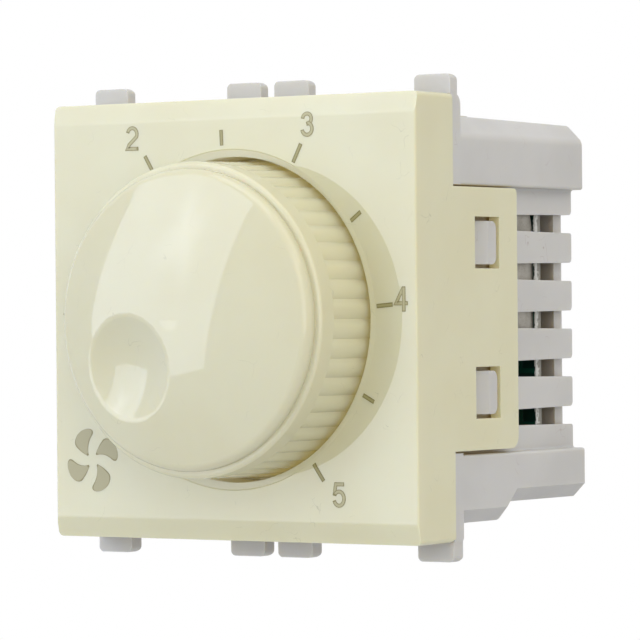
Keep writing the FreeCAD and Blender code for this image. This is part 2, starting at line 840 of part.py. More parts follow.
def build_housing():
    """Grey tub: collar with tabs, blocks above and below, louvred sides, lugs and bosses."""
    middle = box(-side_half_width, side_half_width, seat_depth + flange_thickness / 2,
                 housing_depth, -lower_block_high, upper_block_low)
    tub = fuse_all([flange(), middle, upper_block_shell(), lower_block_shell()]
                   + block_flares() + wall_blends())
    upper_space, lower_space = block_outlines(block_wall)
    space_half_width = block_half_width - block_wall
    hollows = [side_profile(upper_space, -cavity_half_width, cavity_half_width),
               side_profile(lower_space, -cavity_half_width, cavity_half_width)]
    for side in (-1, 1):
        x0 = min(side * space_half_width, side * (cavity_half_width - 1))
        x1 = max(side * space_half_width, side * (cavity_half_width - 1))
        wide_upper = box(x0, x1, seat_depth - 1, cavity_rear,
                         upper_block_low + block_wall, upper_block_high)
        wide_lower = box(x0, x1, seat_depth - 1, cavity_rear,
                         -lower_block_front_low, -lower_block_high - block_wall)
        hollows.append(wide_upper.common(side_profile(upper_space, x0, x1)))
        hollows.append(wide_lower.common(side_profile(lower_space, x0, x1)))
    tub = tub.cut(fuse_all(hollows))
    slots = louvre_slots()
    tub = tub.cut(slots).cut(slots.mirror(V(0, 0, 0), V(1, 0, 0)))
    additions = []
    for middle_height in (-window_centre_height, window_centre_height):
        lug = snap_lug(middle_height)
        additions.extend([lug, lug.mirror(V(0, 0, 0), V(1, 0, 0))])
    for x, z in boss_places:
        additions.append(rod_y(boss_radius, board_rear, cavity_rear + rear_wall / 2, x, z))
    tub = fuse_all([tub] + additions)
    for x, z in boss_places:
        tub = tub.cut(rod_y(boss_hole_radius, board_rear - 1, cavity_rear + rear_wall / 4, x, z))
    for side in (-1, 1):
        tub = tub.cut(rod_y(wire_entry_radius, cavity_rear - 1, housing_depth + 1,
                            side * terminal_x, wire_entry_height))
        tub = tub.cut(rod_z(access_hole_radius, upper_block_high - 2 * block_wall,
                            upper_block_high + 1, side * terminal_x, terminal_depth))
    return tub


def build_circuit_board():
    """Green board across the back of the tub, notched round the two lift terminals."""
    board = box(board_left, board_right, board_front_depth, board_rear, -board_bottom, board_top)
    notch_half = cage_width / 2 + board_notch_clearance
    cuts = []
    for side in (-1, 1):
        cuts.append(box(side * terminal_x - notch_half, side * terminal_x + notch_half,
                        board_front_depth - 1, board_rear + 1,
                        cage_base - board_notch_clearance, board_top + 1))
        cuts.append(box(side * terminal_x - bar_width / 2 - lead_clearance,
                        side * terminal_x + bar_width / 2 + lead_clearance,
                        board_front_depth - 1, board_rear + 1,
                        bar_drop_low - lead_clearance,
                        bar_drop_low + bar_thickness + lead_clearance))
    for x, z in boss_places:
        cuts.append(rod_y(board_screw_radius + lead_clearance, board_front_depth - 1,
                          board_rear + 1, x, z))
    for x in pin_places:
        cuts.append(pin_block(x, lead_clearance, board_front_depth - 1, board_rear + 1))
    for leg_depth, bend_z in leg_places():
        cuts.append(box(leg_x() - leg_thickness / 2 - lead_clearance,
                        leg_x() + leg_thickness / 2 + lead_clearance,
                        board_front_depth - 1, board_rear + 1,
                        bend_z - leg_width / 2 - lead_clearance,
                        bend_z + leg_width / 2 + lead_clearance))
    for x, z in lead_places():
        cuts.append(rod_y(lead_radius + lead_clearance, board_front_depth - 1, board_rear + 1, x, z))
    return board.cut(Part.makeCompound(cuts))


def lead_places():
    """Where the round leads of the small components go through the board."""
    places = []
    for x, z, width, length, height, pitch in (large_cap, small_cap):
        places.extend([(x - pitch / 2, z), (x + pitch / 2, z)])
    for x, z, length in ((outer_resistor_x, resistor_z, resistor_length),
                         (inner_resistor_x, resistor_z, resistor_length),
                         (diac_x, diac_z, diac_length)):
        reach = length / 2 + lead_reach
        places.extend([(x, z - reach), (x, z + reach)])
    return places


def build_board_screws():
    """Two self-tapping screws that hold the board on its bosses."""
    screws = []
    for x, z in boss_places:
        shank = rod_y(board_screw_radius, board_front_depth, board_rear + board_screw_bite, x, z)
        head = rod_y(board_screw_head_radius, board_front_depth - board_screw_head_height,
                     board_front_depth, x, z)
        screws.append(shank.fuse(head).removeSplitter())
    return Part.makeCompound(screws)


def build_pot_case():
    """Potentiometer can and bushing, turned as one piece."""
    bore = shaft_radius + shaft_clearance
    inner = pot_radius - pot_can_wall
    floor = pot_front + pot_can_wall
    rear = pot_rear_depth - pot_cover_thickness
    return turned([(bore, bushing_front), (bushing_radius, bushing_front),
                   (bushing_radius, pot_front), (pot_radius, pot_front), (pot_radius, rear),
                   (inner, rear), (inner, floor), (bore, floor)])


def build_pot_nut():
    """The hexagon nut that clamps the bushing to the heat sink."""
    corner = nut_flat_width / 2 / math.cos(math.radians(30))
    points = []
    for i in range(6):
        turn = math.radians(60 * i)
        points.append((corner * math.cos(turn), corner * math.sin(turn)))
    nut = front_profile(points, sink_front_depth - nut_thickness, sink_front_depth)
    return nut.cut(rod_y(bushing_radius, 0, sink_front_depth + 1))


def pin_block(x, margin, depth0, depth1):
    """One potentiometer pin, or the slot for it when given a margin."""
    return box(x - pin_width / 2 - margin, x + pin_width / 2 + margin, depth0, depth1,
               pin_height - pin_thickness / 2 - margin, pin_height + pin_thickness / 2 + margin)


def build_pot_cover():
    """The insulating cover at the back of the potentiometer, with slots for the pins."""
    cover = rod_y(pot_radius, pot_rear_depth - pot_cover_thickness, pot_rear_depth)
    for x in pin_places:
        cover = cover.cut(pin_block(x, lead_clearance, 0, board_rear))
    return cover


def build_pot_wafer():
    """The wafer that carries the resistive track, held at its rim in the can."""
    return rod_y(pot_radius - pot_can_wall, wafer_front, wafer_rear)


def build_pot_pins():
    """Three flat pins from the wafer to the board."""
    pins = [pin_block(x, 0, wafer_rear, board_rear + pin_tail) for x in pin_places]
    return Part.makeCompound(pins)


def build_pot_shaft():
    """The shaft: a rotor disc in the can and a flat for the knob at the front."""
    front = d_section(shaft_radius, -shaft_front, rotor_rear)
    rotor = rod_y(rotor_radius, rotor_front, rotor_rear)
    return front.fuse(rotor).removeSplitter()


def build_pot_wiper():
    """Sprung contact on the back of the rotor, with a finger that reaches for the track."""
    reach = rotor_radius - wiper_width / 2
    hub = rod_y(wiper_width, rotor_rear, rotor_rear + wiper_thickness)
    arm = box(-wiper_width / 2, wiper_width / 2, rotor_rear, rotor_rear + wiper_thickness, 0, reach)
    finger = rod_y(wiper_width / 4, rotor_rear, rotor_rear + wiper_thickness + wiper_finger_drop,
                   0, reach - wiper_width / 4)
    wiper = fuse_all([hub, arm, finger])
    wiper.rotate(V(0, 0, 0), V(0, 1, 0), pointer_angle)
    return wiper


def build_heat_sink():
    """Bent aluminium sheet: a web that holds the potentiometer and a side flange for the triac."""
    outline = [(-sink_left_reach, sink_front_depth), (sink_outer_x, sink_front_depth),
               (sink_outer_x, board_front_depth), (sink_inner_x, board_front_depth),
               (sink_inner_x, sink_rear), (-sink_left_reach, sink_rear)]
    corners = [V(x, model_y(depth), -sink_low) for x, depth in outline]
    sheet = Part.Face(Part.makePolygon(corners + [corners[0]])).extrude(V(0, 0, sink_low + sink_high))
    bends = []
    for edge in sheet.Edges:
        middle = edge.CenterOfMass
        if not is_along(edge, V(0, 0, 1)):
            continue
        if abs(middle.x - sink_outer_x) < 1e-6 and abs(middle.y - model_y(sink_front_depth)) < 1e-6:
            bends.append((edge, sink_bend_radius + sink_thickness))
        if abs(middle.x - sink_inner_x) < 1e-6 and abs(middle.y - model_y(sink_rear)) < 1e-6:
            bends.append((edge, sink_bend_radius))
    for edge, radius in bends:
        match = [e for e in sheet.Edges if (e.CenterOfMass - edge.CenterOfMass).Length < 1e-6]
        sheet = sheet.makeFillet(radius, match)
    below = box(sink_inner_x - sink_bend_radius, sink_outer_x + 1, sink_front_depth - 1,
                board_front_depth + 1, -sink_low - 1, -sink_side_low)
    sheet = sheet.cut(below)
    slant = side_profile([(board_front_depth, sink_high - sink_slant_rise),
                          (board_front_depth + 1, sink_high - sink_slant_rise),
                          (board_front_depth + 1, sink_high + 1),
                          (board_front_depth - sink_slant_run, sink_high + 1),
                          (board_front_depth - sink_slant_run, sink_high)],
                         sink_inner_x - 1, sink_outer_x + 1)
    sheet = sheet.cut(slant)
    sheet = sheet.cut(rod_y(bushing_radius, 0, board_front_depth))
    return sheet.cut(rod_x(triac_screw_radius, sink_inner_x - 1, sink_outer_x + 1,
                           triac_middle(), triac_low + triac_hole_height))


def triac_middle():
    """Depth of the triac's centre line, midway between the sheet's bend and the board."""
    return (sink_rear + sink_bend_radius + board_front_depth) / 2


def leg_x():
    """Where the triac's legs stand across the width, in the middle of its case."""
    return sink_inner_x - triac_plate_thickness - triac_thickness / 2


def leg_places():
    """Depth of each leg and the height where it turns back to the board."""
    places = []
    for i in range(3):
        depth = triac_middle() + (1 - i) * leg_pitch
        places.append((depth, triac_low - leg_first_bend - i * leg_bend_step))
    return places


def build_triac_plate():
    """The triac's metal back, flat on the heat sink."""
    half = triac_width / 2
    plate = box(sink_inner_x - triac_plate_thickness, sink_inner_x, triac_middle() - half,
                triac_middle() + half, triac_low, triac_low + triac_height)
    return plate.cut(rod_x(triac_hole_radius, 0, sink_inner_x + 1, triac_middle(),
                           triac_low + triac_hole_height))


def build_triac_case():
    """The triac's moulded case."""
    half = triac_width / 2
    face = sink_inner_x - triac_plate_thickness
    case = box(face - triac_thickness, face, triac_middle() - half,
               triac_middle() + half, triac_low, triac_low + triac_height)
    return case.cut(rod_x(triac_hole_radius, 0, sink_inner_x, triac_middle(),
                          triac_low + triac_hole_height))


def build_triac_legs():
    """Three legs that drop from the case and turn back into the board."""
    legs = []
    for depth, bend_z in leg_places():
        x0 = leg_x() - leg_thickness / 2
        x1 = leg_x() + leg_thickness / 2
        drop = box(x0, x1, depth - leg_width / 2, depth + leg_width / 2,
                   bend_z - leg_width / 2, triac_low)
        run = box(x0, x1, depth, board_rear + pin_tail,
                  bend_z - leg_width / 2, bend_z + leg_width / 2)
        legs.append(drop.fuse(run).removeSplitter())
    return Part.makeCompound(legs)


def build_triac_screw():
    """The screw that clamps the triac to the heat sink."""
    face = sink_inner_x - triac_plate_thickness - triac_thickness
    height = triac_low + triac_hole_height
    shank = rod_x(triac_screw_radius, face, sink_outer_x, triac_middle(), height)
    head = rod_x(triac_screw_head_radius, face - triac_screw_head_height, face,
                 triac_middle(), height)
    return shank.fuse(head).removeSplitter()


def build_choke_core():
    """Ferrite ring of the choke, lying on the board inside its winding."""
    rear = board_front_depth - winding_thickness
    ring = rod_y(core_outer_radius, rear - core_height, rear, choke_x, choke_z)
    return ring.cut(rod_y(core_inner_radius, 0, board_rear, choke_x, choke_z))


def build_choke_winding():
    """Wire wound round the ring, drawn as one sleeve with a groove between the turns."""
    rear = board_front_depth
    front = rear - core_height - 2 * winding_thickness
    outer = core_outer_radius + winding_thickness
    inner = core_inner_radius - winding_thickness
    sleeve = rod_y(outer, front, rear, choke_x, choke_z)
    sleeve = sleeve.cut(rod_y(inner, 0, board_rear, choke_x, choke_z))
    grooves = []
    for i in range(winding_turns):
        turn = 2 * math.pi * i / winding_turns
        grooves.append(rod_y(winding_groove_radius, front - 1, rear + 1,
                             choke_x + outer * math.cos(turn), choke_z + outer * math.sin(turn)))
    sleeve = sleeve.cut(Part.makeCompound(grooves))
    return sleeve.cut(build_choke_core())


def build_capacitor(x, z, width, length, height, pitch):
    """A box-shaped film capacitor that stands on the board, with its two leads."""
    case = box(x - width / 2, x + width / 2, board_front_depth - length, board_front_depth,
               z - height / 2, z + height / 2)
    edges = [e for e in case.Edges if abs(e.CenterOfMass.y - model_y(board_front_depth)) > 1e-6]
    case = case.makeFillet(cap_edge_radius, edges)
    leads = [rod_y(lead_radius, board_front_depth - 1, board_rear + pin_tail, x + side * pitch / 2, z)
             for side in (-1, 1)]
    return fuse_all([case] + leads)


def build_axial(x, z, radius, length):
    """A small axial component: a barrel with waisted ends and two bent leads."""
    depth = board_front_depth - part_standoff - radius
    start = z - length / 2
    end = z + length / 2
    waist = radius * 0.82
    cap_length = length * 0.24
    barrel = rod_z(waist, start, end, x, depth)
    caps = [rod_z(radius, start, start + cap_length, x, depth),
            rod_z(radius, end - cap_length, end, x, depth)]
    leads = []
    for tip, side in ((start, -1), (end, 1)):
        corner = tip + side * lead_reach
        root = tip - side * lead_radius
        along = rod_z(lead_radius, min(root, corner), max(root, corner), x, depth)
        down = rod_y(lead_radius, depth, board_rear + pin_tail, x, corner)
        knee = Part.makeSphere(lead_radius, V(x, model_y(depth), corner))
        leads.extend([along, down, knee])
    return fuse_all([barrel] + caps + leads)


def build_terminal_bar(side):
    """Fixed contact bar of one terminal: it runs through the cage and down to the board."""
    x0 = side * terminal_x - bar_width / 2
    x1 = side * terminal_x + bar_width / 2
    front = cage_front - bar_end_gap - bar_thickness
    rear = cage_rear + bar_end_gap
    tail = board_rear + pin_tail
    outline = [(front, bar_top), (rear, bar_top), (rear, bar_base), (front + bar_thickness, bar_base),
               (front + bar_thickness, bar_drop_low + bar_thickness),
               (tail, bar_drop_low + bar_thickness), (tail, bar_drop_low), (front, bar_drop_low)]
    return side_profile(outline, x0, x1)


def build_terminal_cage(side):
    """Lift cage of one terminal: a closed strap round the bar, threaded at the top."""
    x0 = side * terminal_x - cage_width / 2
    x1 = side * terminal_x + cage_width / 2
    strap = box(x0, x1, cage_front, cage_rear, cage_base, cage_top)
    edges = [e for e in strap.Edges if is_along(e, V(0, 1, 0))]
    strap = strap.makeFillet(cage_side / 2, edges)
    strap = strap.cut(box(x0 + cage_side, x1 - cage_side, cage_front - 1, cage_rear + 1,
                          cage_floor, cage_ceiling))
    hole = rod_z(screw_shank_radius + screw_thread_clearance, cage_ceiling - 1, cage_top + 1,
                 side * terminal_x, terminal_depth)
    return strap.cut(hole)


def build_terminal_screw(side):
    """Captive screw of one terminal: its head stays under the housing's top wall."""
    x = side * terminal_x
    head_low = cage_top + cage_lift + screw_head_gap
    head_high = head_low + screw_head_height
    shank = rod_z(screw_shank_radius, bar_top + screw_tip_gap, head_low, x, terminal_depth)
    head = rod_z(screw_head_radius, head_low, head_high, x, terminal_depth)
    screw = shank.fuse(head).removeSplitter()
    slot = box(x - screw_head_radius - 1, x + screw_head_radius + 1,
               terminal_depth - screw_slot_width / 2, terminal_depth + screw_slot_width / 2,
               head_high - screw_slot_depth, head_high + 1)
    return screw.cut(slot)


save("front_plate", build_front_plate())
save("knob", build_knob())
save("housing", build_housing())
save("circuit_board", build_circuit_board())
save("board_screws", build_board_screws())
save("pot_case", build_pot_case())
save("pot_nut", build_pot_nut())
save("pot_cover", build_pot_cover())
save("pot_wafer", build_pot_wafer())
save("pot_pins", build_pot_pins())
save("pot_shaft", build_pot_shaft())
save("pot_wiper", build_pot_wiper())
save("heat_sink", build_heat_sink())
save("triac_plate", build_triac_plate())
save("triac_case", build_triac_case())
save("triac_legs", build_triac_legs())
save("triac_screw", build_triac_screw())
save("choke_core", build_choke_core())
save("choke_winding", build_choke_winding())
save("large_capacitor", build_capacitor(*large_cap))
save("small_capacitor", build_capacitor(*small_cap))
save("resistor_outer", build_axial(outer_resistor_x, resistor_z, resistor_radius, resistor_length))
save("resistor_inner", build_axial(inner_resistor_x, resistor_z, resistor_radius, resistor_length))
save("diac", build_axial(diac_x, diac_z, diac_radius, diac_length))
for hand, hand_side in (("left", -1), ("right", 1)):
    save("terminal_bar_" + hand, build_terminal_bar(hand_side))
    save("terminal_cage_" + hand, build_terminal_cage(hand_side))
    save("terminal_screw_" + hand, build_terminal_screw(hand_side))
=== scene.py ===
# %% [markdown]
# # A rotary fan speed control, dressed for its picture
#
# The switch is a cream plastic insert for a wiring frame: a square plate with a large
# domed knob in the middle, numbers printed round it and a grey louvred housing behind.
# Its solids come ready made, at their true size, so this lesson adds what a solid lacks:
# the finish of each surface, the printing on the plate, the studio and the camera.
# Loading the solids first means that every later size can be read from them.

# %% Load the solids
import json
import math

import bmesh
import bpy
import numpy as np
from mathutils import Matrix, Vector


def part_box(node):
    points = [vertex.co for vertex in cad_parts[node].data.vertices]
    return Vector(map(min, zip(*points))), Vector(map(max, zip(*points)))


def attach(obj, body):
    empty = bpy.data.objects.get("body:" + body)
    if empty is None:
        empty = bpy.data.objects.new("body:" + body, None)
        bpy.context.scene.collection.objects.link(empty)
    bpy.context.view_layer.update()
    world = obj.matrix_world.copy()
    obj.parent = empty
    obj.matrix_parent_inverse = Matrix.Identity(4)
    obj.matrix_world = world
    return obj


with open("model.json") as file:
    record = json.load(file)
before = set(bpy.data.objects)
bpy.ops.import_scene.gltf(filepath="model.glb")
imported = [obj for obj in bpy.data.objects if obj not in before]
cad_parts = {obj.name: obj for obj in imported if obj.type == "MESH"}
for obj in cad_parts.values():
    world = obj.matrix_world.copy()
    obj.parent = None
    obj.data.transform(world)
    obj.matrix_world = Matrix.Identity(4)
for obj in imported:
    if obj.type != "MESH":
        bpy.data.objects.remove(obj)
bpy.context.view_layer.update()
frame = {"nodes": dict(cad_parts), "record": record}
MM = 0.001
plate_low, plate_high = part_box("front_plate")
face_y = plate_low.y

# %% [markdown]
# ## Camera
#
# The picture is taken from a little over 40 cm away with a long lens, level with the
# dial and turned 34 degrees to the right of it. A camera could be aimed with a tracking
# constraint, but three angles and a place say the same and can be read at a glance:
# the matrix has the camera's right, up and backward directions as its columns.

# %% Place the camera
PICTURE_WIDTH = 640
FOCAL_PIXELS = 4015.0
SENSOR_MM = 36.0
CAMERA_PLACE = Vector((235.72, -340.75, 0.33)) * MM
camera_yaw, camera_pitch, camera_roll = (math.radians(a) for a in (33.953, 0.061, -0.505))

backward = Vector((math.sin(camera_yaw) * math.cos(camera_pitch),
                   -math.cos(camera_yaw) * math.cos(camera_pitch),
                   math.sin(camera_pitch)))
level_right = Vector((math.cos(camera_yaw), math.sin(camera_yaw), 0.0))
level_up = backward.cross(level_right)
camera_right = level_right * math.cos(camera_roll) + level_up * math.sin(camera_roll)
camera_up = level_up * math.cos(camera_roll) - level_right * math.sin(camera_roll)

camera_data = bpy.data.cameras.new("photo_camera")
camera_data.sensor_width = SENSOR_MM
camera_data.lens = FOCAL_PIXELS * SENSOR_MM / PICTURE_WIDTH
camera_data.clip_start = 0.01
camera = bpy.data.objects.new("photo_camera", camera_data)
turn = Matrix((camera_right, camera_up, backward)).transposed()
camera.matrix_world = Matrix.Translation(CAMERA_PLACE) @ turn.to_4x4()
bpy.context.scene.collection.objects.link(camera)
bpy.context.scene.camera = camera
bpy.context.scene.view_settings.view_transform = "Standard"
print("lens in mm:", round(camera_data.lens, 1))

# %% [markdown]
# ## Building blocks for shaders
#
# Every finish here is made of nodes. Written out by hand that is long, so small helpers
# do the wiring: one adds a node and fills its inputs, others do sums, steps, mixtures
# and noise, and one builds a node group with named inputs and outputs. A colour is
# written as it looks on a screen, 0 to 255, and turned into the linear light that
# shaders count in.

# %% Helpers for nodes
def screen_colour(red, green, blue):
    """Linear colour of a screen colour: below 0.04045 divide by 12.92, above it raise
    (c + 0.055) / 1.055 to the power 2.4."""
    c = np.array([red, green, blue]) / 255.0
    linear = np.where(c <= 0.04045, c / 12.92, ((c + 0.055) / 1.055) ** 2.4)
    return (float(linear[0]), float(linear[1]), float(linear[2]), 1.0)


def add(tree, kind, inputs=None, **settings):
    """A new node of the kind, with its settings, each input fed by a value or a socket."""
    node = tree.nodes.new(kind)
    for name, value in settings.items():
        setattr(node, name, value)
    for key, value in (inputs or {}).items():
        if isinstance(value, bpy.types.NodeSocket):
            tree.links.new(value, node.inputs[key])
        else:
            node.inputs[key].default_value = value
    return node


def maths(tree, operation, a, b=0.0, c=0.0, clamp=False):
    """One Math node: operation on a, b and c."""
    node = add(tree, "ShaderNodeMath", {0: a, 1: b, 2: c}, operation=operation, use_clamp=clamp)
    return node.outputs[0]


def ramp(tree, value, low, high, to_low=0.0, to_high=1.0):
    """Smooth step of value from low to high."""
    node = add(tree, "ShaderNodeMapRange", {0: value, 1: low, 2: high, 3: to_low, 4: to_high},
               interpolation_type="SMOOTHSTEP")
    return node.outputs[0]


def mix(tree, factor, a, b):
    """Colour a where factor is 0, colour b where it is 1."""
    node = add(tree, "ShaderNodeMix", {0: factor, 6: a, 7: b}, data_type="RGBA")
    return node.outputs[2]


def vector_maths(tree, operation, a, b=(0.0, 0.0, 0.0)):
    """One Vector Math node on a and b. It gives the vector, or the length or distance."""
    node = add(tree, "ShaderNodeVectorMath", {0: a, 1: b}, operation=operation)
    return node.outputs["Value" if operation in ("LENGTH", "DISTANCE") else "Vector"]


def noise(tree, where, scale, detail=2.0):
    """Cloudy noise from 0 to 1, with scale features to the unit of the place."""
    node = add(tree, "ShaderNodeTexNoise", {"Vector": where, "Scale": scale, "Detail": detail})
    return node.outputs[0]


def looked_at(tree):
    """1 where the camera, a mirror or glass looks, and 0 where only light is gathered."""
    ray = add(tree, "ShaderNodeLightPath")
    mirrored = maths(tree, "MAXIMUM", ray.outputs["Is Glossy Ray"],
                     ray.outputs["Is Transmission Ray"])
    return maths(tree, "MAXIMUM", ray.outputs["Is Camera Ray"], mirrored)


def new_group(name, inputs, outputs):
    """An empty node group with its sockets, and its input and output nodes."""
    tree = bpy.data.node_groups.new(name, "ShaderNodeTree")
    for label, value in inputs:
        is_colour = isinstance(value, tuple) and len(value) == 4
        kind = "NodeSocketColor" if is_colour else (
            "NodeSocketVector" if isinstance(value, tuple) else "NodeSocketFloat")
        socket = tree.interface.new_socket(name=label, in_out="INPUT", socket_type=kind)
        socket.default_value = value
    for label, kind in outputs:
        tree.interface.new_socket(name=label, in_out="OUTPUT", socket_type=kind)
    return tree, add(tree, "NodeGroupInput"), add(tree, "NodeGroupOutput")


def use(tree, group, **inputs):
    """The group placed in a material. An input's name has its spaces as underscores."""
    node = add(tree, "ShaderNodeGroup", node_tree=group)
    for label, value in inputs.items():
        key = label.replace("_", " ")
        if isinstance(value, bpy.types.NodeSocket):
            tree.links.new(value, node.inputs[key])
        else:
            node.inputs[key].default_value = value
    return node


COLOUR, NUMBER = "NodeSocketColor", "NodeSocketFloat"
WHITE = (1.0, 1.0, 1.0, 1.0)
print("helpers ready")

# %% [markdown]
# ## Moulded plastic
#
# Injection moulded plastic is never quite even. The melt cools in clouds that differ a
# little in shade, and a polished mould still leaves long shallow waves, which show only
# where the surface mirrors a bright edge. The group works in millimetres: three noises
# of different size give the clouds, the waves and the fine grain of a sparked mould.

# %% Group for moulded plastic
moulded, g_in, g_out = new_group(
    "moulded plastic",
    [("Place", (0.0, 0.0, 0.0)), ("Colour", (0.8, 0.8, 0.8, 1.0)), ("Cloud", (0.7, 0.7, 0.7, 1.0)),
     ("Roughness", 0.1), ("Roughness Spread", 0.04), ("Wave", 0.0), ("Grain", 0.0),
     ("Grain Scale", 8.0)],
    [("Colour", COLOUR), ("Roughness", NUMBER), ("Height", NUMBER)])
clouds = noise(moulded, g_in.outputs["Place"], 0.09, 3.0)
waves = noise(moulded, g_in.outputs["Place"], 0.16, 0.0)
grain = add(moulded, "ShaderNodeTexNoise",
            {"Vector": g_in.outputs["Place"], "Scale": g_in.outputs["Grain Scale"], "Detail": 2.0})
smudge = noise(moulded, g_in.outputs["Place"], 0.35, 4.0)
tinted = mix(moulded, ramp(moulded, clouds, 0.35, 0.68),
             g_in.outputs["Colour"], g_in.outputs["Cloud"])
moulded.links.new(tinted, g_out.inputs["Colour"])
spread = maths(moulded, "MULTIPLY", maths(moulded, "SUBTRACT", smudge, 0.5),
               g_in.outputs["Roughness Spread"])
moulded.links.new(maths(moulded, "ADD", spread, g_in.outputs["Roughness"], clamp=True),
                  g_out.inputs["Roughness"])
height = maths(moulded, "ADD", maths(moulded, "MULTIPLY", waves, g_in.outputs["Wave"]),
               maths(moulded, "MULTIPLY", grain.outputs[0], g_in.outputs["Grain"]))
moulded.links.new(height, g_out.inputs["Height"])
print("group:", moulded.name)

# %% [markdown]
# ## Dust and fibres
#
# A switch out of its box carries a few dark specks and short fibres. Specks
# are the centres of large cells, kept only in the few cells whose random number is high.
# Fibres are the thin borders of warped cells, cut to short lengths by a second noise.

# %% Group for dust
dust, g_in, g_out = new_group(
    "dust and fibres",
    [("Place", (0.0, 0.0, 0.0)), ("Specks", 0.5), ("Speck Size", 0.07), ("Fibres", 0.5)],
    [("Specks", NUMBER), ("Fibres", NUMBER)])
cells = add(dust, "ShaderNodeTexVoronoi",
            {"Vector": g_in.outputs["Place"], "Scale": 0.4, "Randomness": 1.0})
choice = add(dust, "ShaderNodeSeparateColor", {0: cells.outputs["Color"]})
size_here = maths(dust, "MULTIPLY", g_in.outputs["Speck Size"],
                  maths(dust, "MULTIPLY", choice.outputs[1], 0.4))
near = maths(dust, "LESS_THAN", cells.outputs["Distance"], size_here)
chosen = maths(dust, "GREATER_THAN", choice.outputs[0],
               maths(dust, "SUBTRACT", 1.0, g_in.outputs["Specks"]))
dust.links.new(maths(dust, "MULTIPLY", near, chosen), g_out.inputs["Specks"])
bent = add(dust, "ShaderNodeTexNoise",
           {"Vector": g_in.outputs["Place"], "Scale": 0.5, "Detail": 1.0})
shifted = add(dust, "ShaderNodeVectorMath",
              {0: bent.outputs["Color"], 1: (3.0, 3.0, 3.0), 2: g_in.outputs["Place"]},
              operation="MULTIPLY_ADD")
borders = add(dust, "ShaderNodeTexVoronoi", {"Vector": shifted.outputs[0], "Scale": 0.3},
              feature="DISTANCE_TO_EDGE")
thin = ramp(dust, borders.outputs["Distance"], 0.006, 0.002)
lengths = ramp(dust, noise(dust, g_in.outputs["Place"], 0.45, 0.0), 0.66, 0.7)
cut = maths(dust, "MULTIPLY", thin, lengths)
dust.links.new(maths(dust, "MULTIPLY", cut, g_in.outputs["Fibres"]), g_out.inputs["Fibres"])
print("group:", dust.name)

# %% [markdown]
# ## Rolled, drawn and plated metal
#
# Sheet and wire keep the direction they were worked in. Stretching a noise along one
# axis gives that grain, and it changes the roughness a little and lifts the surface by
# a hair. Plating adds cloudy patches where it has dulled.

# %% Group for metal
ROUGHNESS_SWING = 0.22
metal, g_in, g_out = new_group(
    "worked metal",
    [("Place", (0.0, 0.0, 0.0)), ("Stretch", (1.0, 1.0, 1.0)), ("Bright", (0.8, 0.8, 0.8, 1.0)),
     ("Dull", (0.5, 0.5, 0.5, 1.0)), ("Roughness", 0.3), ("Grain", 0.02)],
    [("Colour", COLOUR), ("Roughness", NUMBER), ("Height", NUMBER)])
drawn_out = vector_maths(metal, "MULTIPLY", g_in.outputs["Place"], g_in.outputs["Stretch"])
lines = noise(metal, drawn_out, 4.0, 4.0)
patches = noise(metal, g_in.outputs["Place"], 0.5, 4.0)
dulled = maths(metal, "ADD", maths(metal, "MULTIPLY", ramp(metal, patches, 0.4, 0.75), 0.7),
               maths(metal, "MULTIPLY", ramp(metal, lines, 0.4, 0.8), 0.3), clamp=True)
metal.links.new(mix(metal, dulled, g_in.outputs["Bright"], g_in.outputs["Dull"]),
                g_out.inputs["Colour"])
lowest = maths(metal, "SUBTRACT", g_in.outputs["Roughness"], ROUGHNESS_SWING / 2)
metal.links.new(maths(metal, "MULTIPLY_ADD", lines, ROUGHNESS_SWING, lowest, clamp=True),
                g_out.inputs["Roughness"])
metal.links.new(maths(metal, "MULTIPLY", lines, g_in.outputs["Grain"]), g_out.inputs["Height"])
print("group:", metal.name)

# %% [markdown]
# ## One start for every material
#
# Each material starts the same way: the object's own coordinates in millimetres, a
# Principled shader, and a Bump node that turns a height in millimetres into a normal.
# Numbers that hold for the whole surface are set on the shader itself. Pale plastic lets
# some light in, and red light wanders farther in it than blue, which warms its edges.

# %% Start of a material
LET_IN = 0.5
WANDER = (1.0, 0.8, 0.45)


def start_material(name, metallic=0.0, coat=0.0, depth=0.0):
    """A material, its tree, its shader and the socket that gives places in millimetres.
    Depth is how many millimetres light wanders inside before it comes out again."""
    material = bpy.data.materials.new(name)
    material.use_nodes = True
    tree = material.node_tree
    shader = tree.nodes["Principled BSDF"]
    shader.inputs["Metallic"].default_value = metallic
    shader.inputs["Coat Weight"].default_value = coat
    if depth > 0:
        shader.inputs["Subsurface Weight"].default_value = LET_IN
        shader.inputs["Subsurface Radius"].default_value = WANDER
        shader.inputs["Subsurface Scale"].default_value = depth * MM
    own = add(tree, "ShaderNodeTexCoord")
    place = add(tree, "ShaderNodeVectorMath", {0: own.outputs["Object"], "Scale": 1.0 / MM},
                operation="SCALE")
    return material, tree, shader, place.outputs[0]


def finish_with(tree, shader, colour, roughness, height=None, normal=None):
    """Wire the worked-out colour, roughness and height in millimetres to the shader. A
    given normal is the one that the height tilts further."""
    for value, socket in ((colour, "Base Color"), (roughness, "Roughness")):
        if isinstance(value, bpy.types.NodeSocket):
            tree.links.new(value, shader.inputs[socket])
        else:
            shader.inputs[socket].default_value = value
    if height is not None:
        bump = add(tree, "ShaderNodeBump", {"Height": height, "Strength": 1.0, "Distance": MM})
        if normal is not None:
            tree.links.new(normal, bump.inputs["Normal"])
        tree.links.new(bump.outputs[0], shader.inputs["Normal"])


print("a pale plastic lets in this share of light:", LET_IN)
